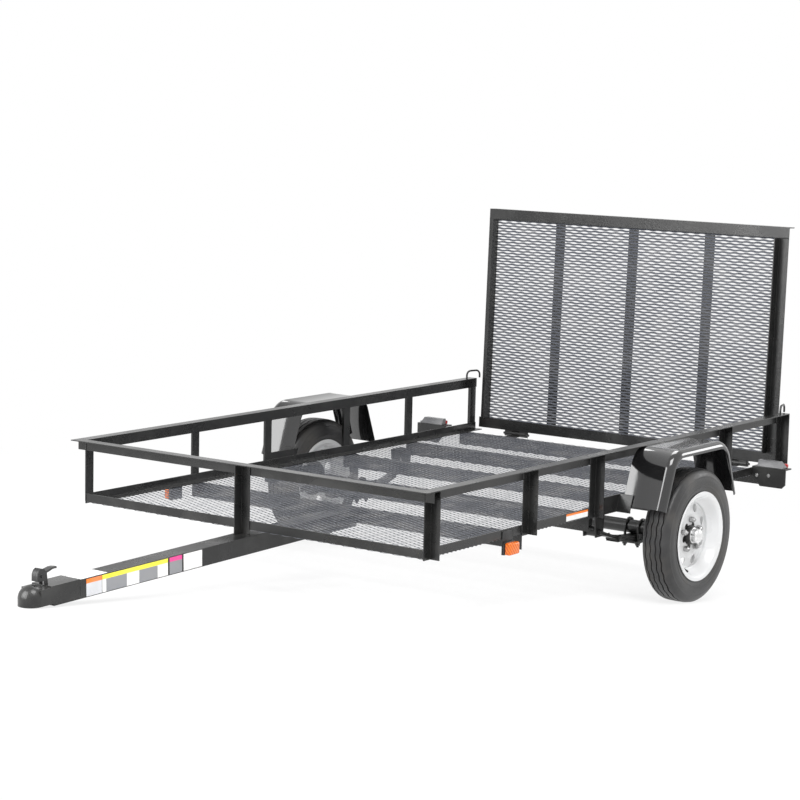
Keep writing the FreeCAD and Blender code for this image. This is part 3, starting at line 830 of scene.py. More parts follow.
@dataclass
class Bench:
    """Turns finished meshes into pieces of the parked trailer.

    Attributes:
        park: Matrix from level to parked.
        materials: Material of each finish.
        count: Pieces made so far.
    """

    park: Matrix
    materials: dict[Finish, bpy.types.Material]
    count: int = 0

    def keep(self, bm: bmesh.types.BMesh, name: str, body: str, *finishes: Finish,
             place: Matrix = Matrix.Identity(4), replaces: Sequence[str] = (),
             sharp: float = 35.0, tidy: bool = True) -> None:
        """Finish a mesh as a piece.

        Args:
            bm: Mesh in the level frame; it is freed.
            name: Name of the piece.
            body: Body that it rides on.
            finishes: Finishes, in the order of its material indices.
            place: Matrix applied before parking.
            replaces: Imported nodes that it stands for.
            sharp: Angle over which an edge stays sharp, in degrees.
            tidy: Merge doubles and recalculate the normals.
        """
        bmesh.ops.transform(bm, matrix=self.park @ place, verts=bm.verts)
        if tidy:
            bmesh.ops.remove_doubles(bm, verts=bm.verts, dist=1e-6)
            bmesh.ops.recalc_face_normals(bm, faces=bm.faces)
        for face in bm.faces:
            face.smooth = True
        mesh = cast(bm, name)
        mesh.set_sharp_from_angle(angle=math.radians(sharp))
        for finish in finishes:
            mesh.materials.append(self.materials[finish])
        piece = put(name, mesh)
        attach(piece, body)
        if replaces:
            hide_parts(*replaces)
        self.count += 1
        LOG.info("%s: %d faces on %s", name, len(mesh.polygons), body)

    def keep_side(self, bm: bmesh.types.BMesh, name: str, side: Side, finish: Finish,
                  body: str = FRAME_BODY, replaces: str = "", sharp: float = 35.0) -> None:
        """Finish a mesh that is drawn on the left as one side's piece.

        Args:
            bm: Mesh in the level frame; it is freed.
            name: Name of the piece, without its side.
            side: Side that it goes to.
            finish: Its finish.
            body: Body that it rides on.
            replaces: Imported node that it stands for, without its side.
            sharp: Angle over which an edge stays sharp, in degrees.
        """
        self.keep(bm, f"{name}_{side.label}", body, finish, place=side.matrix, sharp=sharp,
                  replaces=[f"{replaces}_{side.label}"] if replaces else [])

    def dress_nodes(self, nodes: dict[str, bpy.types.Object], record: dict[str, Any]) -> None:
        """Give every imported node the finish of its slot.

        Args:
            nodes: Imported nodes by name.
            record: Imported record.
        """
        by_slot = {finish.value: finish for finish in Finish}
        for subpart in record["subparts"]:
            piece = nodes[subpart["node"]]
            material = self.materials[by_slot[subpart["material_slot"]]]
            piece.data.materials.clear()
            piece.data.materials.append(material)
            LOG.info("%s: %s", piece.name, material.name)


def aim(at: Point | Vector, axis: Point | Vector) -> Matrix:
    """Matrix that stands a shape drawn along Z at a place, along an axis."""
    return Matrix.Translation(at) @ Vector(axis).to_track_quat("Z", "Y").to_matrix().to_4x4()


def only(kind: type, items: Iterable[Any]) -> list[Any]:
    """Items of one kind, out of an operator's mixed result."""
    return [item for item in items if isinstance(item, kind)]


def once(items: Iterable[Any]) -> list[Any]:
    """Items once each, in the order in which they come."""
    return list(dict.fromkeys(items))


def grow(bm: bmesh.types.BMesh, faces: list[Any], way: Any) -> tuple[list[Any], list[Any]]:
    """Carry the faces at a form's end a step on.

    Args:
        bm: Mesh that holds them.
        faces: Faces at the end.
        way: Step that they take.

    Returns:
        The vertices and faces of the new end.
    """
    grown = bmesh.ops.extrude_face_region(bm, geom=faces)["geom"]
    verts = only(bmesh.types.BMVert, grown)
    bmesh.ops.translate(bm, vec=way, verts=verts)
    return verts, only(bmesh.types.BMFace, grown)


def carry(bm: bmesh.types.BMesh, edges: list[Any], way: Any) -> list[Any]:
    """Carry a line of edges a step on.

    Args:
        bm: Mesh that holds them.
        edges: Edges of the line.
        way: Step that they take.

    Returns:
        The edges of the new line.
    """
    grown = bmesh.ops.extrude_edge_only(bm, edges=edges)["geom"]
    bmesh.ops.translate(bm, vec=way, verts=only(bmesh.types.BMVert, grown))
    return only(bmesh.types.BMEdge, grown)


def add_section(bm: bmesh.types.BMesh, place: Matrix, width: float, height: float) -> list[Any]:
    """Add a flat rectangle, ready to be carried on.

    Args:
        bm: Mesh to add to.
        place: Place of its middle, and how it is turned.
        width: Size along its X.
        height: Size along its Y.

    Returns:
        Its face.
    """
    shaped = place @ Matrix.Diagonal((width, height, 1, 1))
    grid = bmesh.ops.create_grid(bm, x_segments=1, y_segments=1, size=0.5, matrix=shaped)
    return list(grid["verts"][0].link_faces)


def cut_plane(bm: bmesh.types.BMesh, at: Point, normal: Point, **options: Any) -> None:
    """Cut a whole mesh with a plane.

    Args:
        bm: Mesh to cut.
        at: A place on the plane.
        normal: Direction that the plane faces.
        options: Other settings of the cut.
    """
    bmesh.ops.bisect_plane(bm, geom=bm.verts[:] + bm.edges[:] + bm.faces[:], plane_co=at,
                           plane_no=normal, **options)


def round_edges(bm: bmesh.types.BMesh, edges: list[Any], width: float, segments: int,
                **options: Any) -> None:
    """Round or chamfer edges.

    Args:
        bm: Mesh that holds them.
        edges: The edges.
        width: Width of the rounding.
        segments: Segments of the rounding.
        options: Other settings of the bevel.
    """
    bmesh.ops.bevel(bm, geom=edges, offset=width, segments=segments, profile=0.5, affect="EDGES",
                    material=-1, **options)


def add_slab(bm: bmesh.types.BMesh, low: Point, high: Point, bevel: float, segments: int = 2) -> None:
    """Add a block with rounded edges.

    Args:
        bm: Mesh to add to.
        low: Lowest corner.
        high: Highest corner.
        bevel: Width of the edges' rounding.
        segments: Segments of the rounding.
    """
    centre = (Vector(low) + Vector(high)) / 2
    shaped = Matrix.Translation(centre) @ Matrix.Diagonal((*(Vector(high) - Vector(low)), 1))
    block = bmesh.ops.create_cube(bm, size=1.0, matrix=shaped)
    edges = once(edge for vert in block["verts"] for edge in vert.link_edges)
    round_edges(bm, edges, bevel, segments)


def add_bar(bm: bmesh.types.BMesh, start: Point | Vector, end: Point | Vector, radius: float,
            segments: int = 16, end_radius: float | None = None) -> None:
    """Add a round bar with closed ends.

    Args:
        bm: Mesh to add to.
        start: Middle of its first end.
        end: Middle of its other end.
        radius: Radius at the start.
        segments: Segments round it.
        end_radius: Radius at the end, where it differs.
    """
    run = Vector(end) - Vector(start)
    middle = (Vector(end) + Vector(start)) / 2
    bmesh.ops.create_cone(bm, cap_ends=True, segments=segments, radius1=radius,
                          radius2=radius if end_radius is None else end_radius,
                          depth=run.length, matrix=aim(middle, run))


def add_hex(bm: bmesh.types.BMesh, seat: Point | Vector, axis: Point | Vector, across: float,
            height: float, washer: float = 0.0, gauge: float = 0.0016) -> None:
    """Add a hex nut or bolt head on its seat, with a chamfered crown and a washer under it.

    Args:
        bm: Mesh to add to.
        seat: Middle of its seat.
        axis: Direction away from the seat.
        across: Size across its flats.
        height: Height of the head.
        washer: Radius of the washer, or nothing.
        gauge: Thickness of the washer.
    """
    out = Vector(axis).normalized()
    start = Vector(seat)
    if washer:
        add_bar(bm, start, start + out * gauge, washer, 20)
        start = start + out * gauge
    corner = across / 2 / math.cos(math.pi / 6)
    head = bmesh.ops.create_cone(bm, cap_ends=True, segments=6, radius1=corner, radius2=corner,
                                 depth=height, matrix=aim(start + out * (height / 2), out))
    crown = [edge for edge in once(edge for vert in head["verts"] for edge in vert.link_edges)
             if all((vert.co - start).dot(out) > height * 0.9 for vert in edge.verts)]
    round_edges(bm, crown, height * 0.16, 1)


def add_bead(bm: bmesh.types.BMesh, start: Point, end: Point, radius: float = 0.0028,
             ripple: float = 0.0045) -> None:
    """Add a rippled weld bead between two points.

    Args:
        bm: Mesh to add to.
        start: First end.
        end: Other end.
        radius: Radius of the bead.
        ripple: Length of a ripple.
    """
    run = Vector(end) - Vector(start)
    steps = max(3, round(run.length / ripple))
    loop = bmesh.ops.create_circle(bm, cap_ends=True, segments=6, radius=radius / 2, matrix=aim(start, run))
    faces = list(loop["verts"][0].link_faces)
    for step in range(1, steps + 1):
        verts, faces = grow(bm, faces, run / steps)
        wanted = radius * (0.5 if step == steps else (1.0 if step % 2 else 0.84))
        centre = Vector(start) + run * (step / steps)
        share = wanted / (verts[0].co - centre).length
        bmesh.ops.scale(bm, vec=(share, share, share), space=Matrix.Translation(-centre), verts=verts)


def draw_line(bm: bmesh.types.BMesh, points: Sequence[Point], closed: bool = False) -> list[Any]:
    """Draw a line of edges through a few points, as the section that an operator carries on.

    Args:
        bm: Mesh to add to.
        points: Points of the line.
        closed: Join the last point to the first.

    Returns:
        Its vertices and edges.
    """
    verts = [bm.verts.new(point) for point in points]
    pairs = list(zip(verts, verts[1:])) + ([(verts[-1], verts[0])] if closed else [])
    return verts + [bm.edges.new(pair) for pair in pairs]


# --- Expanded metal -------------------------------------------------------------------------

@dataclass
class ExpandedMetal:
    """Standard expanded steel: slit strands that wave between their bonds.

    Attributes:
        long_way: Pitch of the bonds along the strands.
        short_way: Pitch of the bonds across the strands.
        strand: Width of a strand.
        gauge: Thickness of the sheet that it was cut from.
        bond: Length of a bond.
        tilt: Tilt of the strands, in degrees.
    """

    long_way: float
    short_way: float
    strand: float
    gauge: float
    bond: float
    tilt: float

    def period(self) -> bmesh.types.BMesh:
        """One wave of two neighbouring strands.

        Returns:
            A mesh with open ends, ready to be repeated.
        """
        bm = bmesh.new()
        swing = self.short_way / 4 - self.strand / 2
        half = self.long_way / 2
        turned = Matrix.Rotation(math.radians(self.tilt), 4, "X") @ Matrix.Rotation(math.pi / 2, 4, "Y")
        for middle, first in ((0.0, 1.0), (self.short_way / 2, -1.0)):
            at = Matrix.Translation((0, middle + first * swing, 0))
            faces = add_section(bm, at @ turned, self.gauge, self.strand)
            edges = list(faces[0].edges)
            bmesh.ops.delete(bm, geom=faces, context="FACES_ONLY")
            for along, across in ((self.bond, 0), (half - self.bond, -2 * first), (self.bond, 0),
                                  (half - self.bond, 2 * first)):
                edges = carry(bm, edges, (along, across * swing, 0))
        bmesh.ops.recalc_face_normals(bm, faces=bm.faces)
        return bm

    def sheet(self, low: Flat, high: Flat) -> bmesh.types.BMesh:
        """A sheet cropped to its size, its long way along X.

        Args:
            low: Lowest X and Y.
            high: Highest X and Y.

        Returns:
            The sheet about Z = 0, its cut strands closed.
        """
        roll = put("expanded_roll", cast(self.period(), "expanded_period"))
        for pitch, span, axis in ((self.long_way, high[0] - low[0], 0),
                                  (self.short_way, high[1] - low[1], 1)):
            array = roll.modifiers.new("repeat", "ARRAY")
            array.count = math.ceil(span / pitch) + 1
            array.use_relative_offset = False
            array.use_constant_offset = True
            array.constant_offset_displace = [pitch if n == axis else 0.0 for n in range(3)]
            array.use_merge_vertices = axis == 0
            array.merge_threshold = 1e-5
        repeated = evaluated(roll)
        bpy.data.objects.remove(roll)
        bm = bmesh.new()
        bm.from_mesh(repeated)
        bpy.data.meshes.remove(repeated)
        corner = (low[0] - self.long_way / 3, low[1] - self.short_way / 3, 0)
        bmesh.ops.translate(bm, vec=corner, verts=bm.verts)
        for at, normal in (((low[0], 0, 0), (-1, 0, 0)), ((high[0], 0, 0), (1, 0, 0)),
                           ((0, low[1], 0), (0, -1, 0)), ((0, high[1], 0), (0, 1, 0))):
            cut_plane(bm, at, normal, dist=1e-6, clear_outer=True)
        bmesh.ops.holes_fill(bm, edges=[edge for edge in bm.edges if edge.is_boundary], sides=8)
        return bm


@dataclass
class Sheets:
    """The deck's and the gate's expanded metal.

    Attributes:
        deck_metal: Pattern of the deck's sheet.
        gate_metal: Pattern of the gate's sheet.
        deck_low: Lowest X and Y of the deck's sheet.
        deck_high: Highest X and Y of the deck's sheet.
        deck_level: Middle height of the deck's sheet.
        gate_half: Half width of the gate's sheet.
        gate_low: Height of its lower edge over the hinge pins.
        gate_high: Height of its upper edge over the hinge pins.
        gate_back: How far it stands in front of the pins.
    """

    deck_metal: ExpandedMetal = field(
        default_factory=lambda: ExpandedMetal(0.0508, 0.0234, 0.0036, 0.0013, 0.0095, -7.0))
    gate_metal: ExpandedMetal = field(
        default_factory=lambda: ExpandedMetal(0.0508, 0.0234, 0.0092, 0.0016, 0.0120, -48.0))
    deck_low: Flat = (-0.7335, -1.2085)
    deck_high: Flat = (0.7335, 1.1285)
    deck_level: float = LEVEL.under_deck + 0.002
    gate_half: float = LEVEL.gate_half - 0.0055
    gate_low: float = 0.0185
    gate_high: float = LEVEL.gate_top - 0.0055
    gate_back: float = 0.002

    def build(self, bench: Bench) -> None:
        """Build both sheets.

        Args:
            bench: Bench that keeps the pieces.
        """
        deck = self.deck_metal.sheet(self.deck_low, self.deck_high)
        bench.keep(deck, "deck_expanded_metal", FRAME_BODY, Finish.MESH_PAINT_AND_SHEEN, replaces=["deck_mesh"],
                   place=Matrix.Translation((0, 0, self.deck_level)), tidy=False)
        gate = self.gate_metal.sheet((-self.gate_half, self.gate_low), (self.gate_half, self.gate_high))
        stand = Matrix.Translation((0, -self.gate_back, 0)) @ UPRIGHT
        bench.keep(gate, "gate_expanded_metal", GATE_BODY, Finish.MESH_PAINT_AND_SHEEN, replaces=["gate_mesh"],
                   place=LEVEL.gate_stand() @ stand, tidy=False)


# --- Wheels ---------------------------------------------------------------------------------

@dataclass
class Wheel:
    """Tyre, steel wheel, lug nuts, dust cap and valve of one side.

    Attributes:
        side: Side of the trailer.
        axle: Y and Z of the axle.
        plane: X of the wheel's middle plane.
        steps: Steps of a full turn of the tyre and the rim.
        fine_steps: Steps of a full turn of the hub and the cap.
        groove_swing: Sideways swing of the tread's zigzag grooves.
        groove_floor: Radius that the swing starts at.
        groove_reach: How far from the middle plane it goes.
        windows: Number of round windows in the disc.
        window_circle: Radius of their circle.
        window_radius: Radius of a window.
        studs: Number of lug nuts.
        stud_circle: Radius of their circle.
        stud_hole: Radius of a stud's hole.
        disc_face: X of the disc's outer face.
        lobe_circle: Radius of the circle of the lobes round the disc's middle hole.
        lobe_radius: Radius of a lobe.
        cap_radius: Radius of the dust cap.
        valve_turn: Turn of the valve from the top, in degrees.
        sidewall: Half section from the bead out, as offset from the plane and radius.
        tread: Half section of the tread, from the shoulder to the middle.
    """

    side: Side
    axle: Flat = LEVEL.axle
    plane: float = LEVEL.wheel
    steps: int = 120
    fine_steps: int = 48
    groove_swing: float = 0.0016
    groove_floor: float = 0.236
    groove_reach: float = 0.036
    windows: int = 8
    window_circle: float = 0.1020
    window_radius: float = 0.0165
    studs: int = 5
    stud_circle: float = 0.05715
    stud_hole: float = 0.0076
    disc_face: float = LEVEL.wheel + 0.010
    lobe_circle: float = 0.0390
    lobe_radius: float = 0.0125
    cap_radius: float = 0.0264
    valve_turn: float = 205.0
    sidewall: tuple[Flat, ...] = (
        (0.0530, 0.1483), (0.0528, 0.1640), (0.0530, 0.1680), (0.0540, 0.1712), (0.0552, 0.1750),
        (0.0562, 0.1796), (0.0568, 0.1802), (0.0571, 0.1822), (0.0569, 0.1828), (0.0577, 0.1900),
        (0.0580, 0.1975), (0.0576, 0.2050), (0.0566, 0.2120), (0.0552, 0.2182), (0.0553, 0.2190),
        (0.0546, 0.2209), (0.0541, 0.2213), (0.0520, 0.2268), (0.0491, 0.2322), (0.0459, 0.2366))
    tread: tuple[Flat, ...] = (
        (0.0430, 0.2398), (0.0395, 0.2421), (0.0325, 0.2437), (0.0311, 0.2388), (0.0283, 0.2388),
        (0.0274, 0.2444), (0.0128, 0.2448), (0.0119, 0.2394), (0.0091, 0.2394), (0.0082, 0.2450))

    def spin(self, bm: bmesh.types.BMesh, geometry: list[Any], steps: int) -> None:
        """Spin a section a full turn about the axle."""
        bmesh.ops.spin(bm, geom=geometry, cent=(0, *self.axle), axis=(1, 0, 0), angle=2 * math.pi,
                       steps=steps, use_merge=True)

    def at(self, across: float, radius: float, turn: float = 0.0) -> Vector:
        """Point at an offset from the wheel's middle, a radius and a turn from the top."""
        return Vector((self.plane + across, self.axle[0] + radius * math.sin(turn),
                       self.axle[1] + radius * math.cos(turn)))

    def turns(self, count: int, first: float = 0.0) -> list[float]:
        """Turns of pieces that are spaced evenly round the wheel."""
        return [2 * math.pi * (n + first) / count for n in range(count)]

    def add_stud(self, bm: bmesh.types.BMesh, turn: float, span: Flat, radius: float, segments: int,
                 end_radius: float | None = None) -> None:
        """Add a bar at a place of the studs' circle.

        Args:
            bm: Mesh to add to.
            turn: Turn of its place from the top.
            span: Its two ends, as offsets from the wheel's middle.
            radius: Radius at its start.
            segments: Segments round it.
            end_radius: Radius at its end, where it differs.
        """
        start, end = (self.at(across, self.stud_circle, turn) for across in span)
        add_bar(bm, start, end, radius, segments, end_radius)

    def build(self, bench: Bench) -> None:
        """Build every piece of the wheel.

        Args:
            bench: Bench that keeps the pieces.
        """
        self.build_tyre(bench)
        self.build_rim(bench)
        self.build_trim(bench)

    def build_tyre(self, bench: Bench) -> None:
        """Spin the tyre and swing its grooves from side to side.

        Args:
            bench: Bench that keeps the piece.
        """
        bm = bmesh.new()
        outer = self.sidewall + self.tread
        section = [self.at(x, r) for x, r in outer] + [self.at(-x, r) for x, r in reversed(outer)]
        self.spin(bm, draw_line(bm, section, closed=True), self.steps)
        bmesh.ops.remove_doubles(bm, verts=bm.verts, dist=1e-6)
        step = 2 * math.pi / self.steps
        middle = Vector((self.plane, *self.axle))
        swings: dict[int, list[Any]] = {1: [], -1: []}
        for vert in bm.verts:
            arm = vert.co - middle
            if abs(arm.x) < self.groove_reach and math.hypot(arm.y, arm.z) > self.groove_floor:
                turn = round(math.atan2(arm.y, arm.z) / step)
                swings[1 if turn % 4 < 2 else -1].append(vert)
        for sign, verts in swings.items():
            bmesh.ops.translate(bm, vec=(sign * self.groove_swing, 0, 0), verts=verts)
        bench.keep_side(bm, "tyre_treaded", self.side, Finish.TREAD_RUBBER, self.side.wheel, "tyre", 28.0)

    def build_rim(self, bench: Bench) -> None:
        """Spin the wheel's bed and disc, and cut the disc's windows and stud holes.

        Args:
            bench: Bench that keeps the piece.
        """
        bm = bmesh.new()
        outside = ((0.0120, 0.1242), (0.0170, 0.1479), (0.0525, 0.1479), (0.0528, 0.1600), (0.0538, 0.1628),
                   (0.0553, 0.1640), (0.0568, 0.1634), (0.0570, 0.1610), (0.0562, 0.1585), (0.0558, 0.1520),
                   (0.0535, 0.1470), (0.0480, 0.1432), (0.0380, 0.1385), (0.0270, 0.1325), (0.0190, 0.1265),
                   (0.0150, 0.1206))
        section = [self.at(x, r) for x, r in outside] + [self.at(-x, r) for x, r in reversed(outside)]
        self.spin(bm, draw_line(bm, section, closed=True), self.steps)
        disc = bmesh.new()
        face = ((0.0060, 0.1203), (0.0040, 0.1196), (0.0035, 0.1120), (0.0055, 0.1000), (0.0085, 0.0880),
                (0.0110, 0.0820), (0.0118, 0.0780), (0.0112, 0.0740), (0.0100, 0.0710), (0.0100, 0.0362))
        back = [(x - 0.0034, r) for x, r in face]
        plate = [self.at(x, r) for x, r in face] + [self.at(x, r) for x, r in reversed(back)]
        self.spin(disc, draw_line(disc, plate, closed=True), self.steps)
        bm.from_mesh(self.cut_holes(disc))
        bench.keep_side(bm, "wheel_disc", self.side, Finish.WHITE_ENAMEL, self.side.wheel, "rim", 32.0)

    def cut_holes(self, disc: bmesh.types.BMesh) -> bpy.types.Mesh:
        """Cut the windows, the stud holes and the lobes of the middle hole out of the disc.

        Args:
            disc: Mesh of the solid disc; it is freed.

        Returns:
            The cut disc.
        """
        bmesh.ops.remove_doubles(disc, verts=disc.verts, dist=1e-6)
        bmesh.ops.recalc_face_normals(disc, faces=disc.faces)
        drill = bmesh.new()
        for count, circle, radius, first in ((self.windows, self.window_circle, self.window_radius, 0.5),
                                             (self.studs, self.stud_circle, self.stud_hole, 0.0),
                                             (self.studs, self.lobe_circle, self.lobe_radius, 0.5)):
            for turn in self.turns(count, first):
                add_bar(drill, self.at(-0.03, circle, turn), self.at(0.05, circle, turn), radius, 24)
        solid, tool = put("solid_disc", cast(disc, "solid_disc")), put("drill", cast(drill, "drill"))
        cut = solid.modifiers.new("holes", "BOOLEAN")
        cut.operation = "DIFFERENCE"
        cut.solver = "EXACT"
        cut.object = tool
        bpy.context.view_layer.update()
        result = evaluated(solid)
        for item in (solid, tool):
            bpy.data.objects.remove(item)
        return result

    def build_trim(self, bench: Bench) -> None:
        """Make the lug nuts, the hub and the valve stem.

        Args:
            bench: Bench that keeps the pieces.
        """
        nuts = bmesh.new()
        seat = self.disc_face - self.plane
        for turn in self.turns(self.studs):
            self.add_stud(nuts, turn, (seat - 0.002, seat + 0.004), 0.0078, 20, 0.0108)
            add_hex(nuts, self.at(seat + 0.004, self.stud_circle, turn), (1, 0, 0), 0.019, 0.014)
            self.add_stud(nuts, turn, (seat + 0.018, seat + 0.0225), 0.0068, 16, 0.0050)
        bench.keep_side(nuts, "lug_nuts", self.side, Finish.ZINC_PLATE, self.side.wheel)
        self.build_hub(bench)
        valve = bmesh.new()
        turn = math.radians(self.valve_turn)
        add_bar(valve, self.at(0.004, 0.1190, turn), self.at(0.016, 0.1250, turn), 0.0058, 16, 0.0042)
        add_bar(valve, self.at(0.016, 0.1250, turn), self.at(0.034, 0.1330, turn), 0.0036, 12)
        add_bar(valve, self.at(0.033, 0.1326, turn), self.at(0.041, 0.1362, turn), 0.0044, 12, 0.0040)
        bench.keep_side(valve, "valve_stem", self.side, Finish.TREAD_RUBBER, self.side.wheel)

    def build_hub(self, bench: Bench) -> None:
        """Spin the hub with its flange and barrel, and the domed dust cap on its end.

        Args:
            bench: Bench that keeps the pieces.
        """
        hub = bmesh.new()
        seat = self.disc_face - self.plane - 0.004
        body = ((-0.034, 0.0162), (-0.034, 0.0330), (-0.033, 0.0340), (seat - 0.008, 0.0340),
                (seat - 0.008, 0.0690), (seat - 0.007, 0.0700), (seat - 0.001, 0.0700), (seat, 0.0690),
                (seat, 0.0355), (0.0255, 0.0340), (0.0270, 0.0325), (0.0270, 0.0162))
        self.spin(hub, draw_line(hub, [self.at(x, r) for x, r in body], closed=True), self.fine_steps)
        for turn in self.turns(self.studs):
            self.add_stud(hub, turn, (seat - 0.001, seat + 0.010), 0.0063, 12)
        bench.keep_side(hub, "hub_turned", self.side, Finish.BLACK_PAINT, self.side.wheel, "hub")
        cap = bmesh.new()
        reach = self.cap_radius
        dome = [(0.0450 + 0.0139 * math.sin(turn), reach * math.cos(turn))
                for turn in (n * math.pi / 24 for n in range(12))]
        rim = [(0.0265, 0.0170), (0.0265, reach + 0.0022), (0.0290, reach + 0.0022), (0.0298, reach)]
        section = [self.at(x, r) for x, r in rim + dome] + [self.at(0.0589, 0.0)]
        self.spin(cap, draw_line(cap, section), self.fine_steps)
        bench.keep_side(cap, "dust_cap", self.side, Finish.BRIGHT_CAP, self.side.wheel)


# --- Fenders --------------------------------------------------------------------------------

@dataclass
class FenderSheet:
    """Bent sheet over one wheel, its outer edge rolled down.

    Attributes:
        side: Side of the trailer.
        middle: Y of its middle.
        inner: X of its inner edge.
        outer: X of its outer edge.
        top: Height of its top.
        bottom: Height of its feet.
        foot: Half length at its feet.
        lean: Lean of its legs, as run over rise.
        corner: Radius of its corners.
        gauge: Thickness of the sheet.
        roll: Radius of the rolled edge.
        turns: Steps of a corner.
    """

    side: Side
    middle: float = 0.244
    inner: float = LEVEL.frame + 0.022
    outer: float = LEVEL.wheel + 0.058
    top: float = LEVEL.rail_top - 0.003
    bottom: float = 0.376
    foot: float = 0.274
    lean: float = 0.38
    corner: float = 0.090
    gauge: float = 0.0018
    roll: float = 0.024
    turns: int = 14

    def section(self) -> list[Flat]:
        """Draw the section across the sheet, from its inner edge to its hem.

        Returns:
            Its places: X, and depth below the outer face.
        """
        start = self.outer - self.roll
        turns = [n * math.pi / 16 for n in range(1, 9)]
        roll = [(start + self.roll * math.sin(turn), self.roll * (1 - math.cos(turn))) for turn in turns]
        crease = [(start - 0.005, 0.0), (start - 0.0035, -0.0008), (start - 0.001, -0.0008)]
        hem = [(self.outer - 0.0003, self.roll + 0.003), (self.outer - 0.003, self.roll + 0.0036)]
        return [(self.inner, 0.0)] + crease + roll + hem

    def build(self, bench: Bench) -> None:
        """Carry the section up the front leg, over the top and down the rear leg.

        Args:
            bench: Bench that keeps the piece.
        """
        bm = bmesh.new()
        tilt = math.atan(self.lean)
        turn = math.pi / 2 - tilt
        tangent = self.corner * math.tan(turn / 2)
        leg = (self.top - self.bottom) / math.cos(tilt) - tangent
        flat = 2 * (self.foot - (self.top - self.bottom) * self.lean - tangent)
        up = Vector((0, math.sin(tilt), math.cos(tilt)))
        inward = Vector((0, math.cos(tilt), -math.sin(tilt)))
        start = Vector((0, self.middle - self.foot, self.bottom))
        section = [start + inward * depth + Vector((x, 0, 0)) for x, depth in self.section()]
        edges = carry(bm, only(bmesh.types.BMEdge, draw_line(bm, section)), up * leg)
        knee = start + up * leg + inward * self.corner
        edges = self.curve(bm, edges, knee, turn)
        edges = carry(bm, edges, (0, flat, 0))
        edges = self.curve(bm, edges, knee + Vector((0, flat, 0)), turn)
        carry(bm, edges, Vector((0, up.y, -up.z)) * leg)
        bmesh.ops.recalc_face_normals(bm, faces=bm.faces)
        highest = max(bm.faces, key=lambda face: face.calc_center_median().z)
        if highest.normal.z < 0:
            bmesh.ops.reverse_faces(bm, faces=bm.faces)
        bmesh.ops.solidify(bm, geom=bm.faces[:], thickness=self.gauge)
        bench.keep_side(bm, "fender_sheet", self.side, Finish.FENDER_GLOSS, replaces="fender", sharp=50.0)

    def curve(self, bm: bmesh.types.BMesh, edges: list[Any], centre: Vector, turn: float) -> list[Any]:
        """Carry the section round a corner.

        Args:
            bm: Mesh that holds it.
            edges: Edges of the section.
            centre: Place that it turns about.
            turn: How far it turns.

        Returns:
            The last edges.
        """
        verts = once(vert for edge in edges for vert in edge.verts)
        last = bmesh.ops.spin(bm, geom=verts + edges, cent=centre, axis=(-1, 0, 0), angle=turn,
                              steps=self.turns)["geom_last"]
        return only(bmesh.types.BMEdge, last)


# --- Springs --------------------------------------------------------------------------------

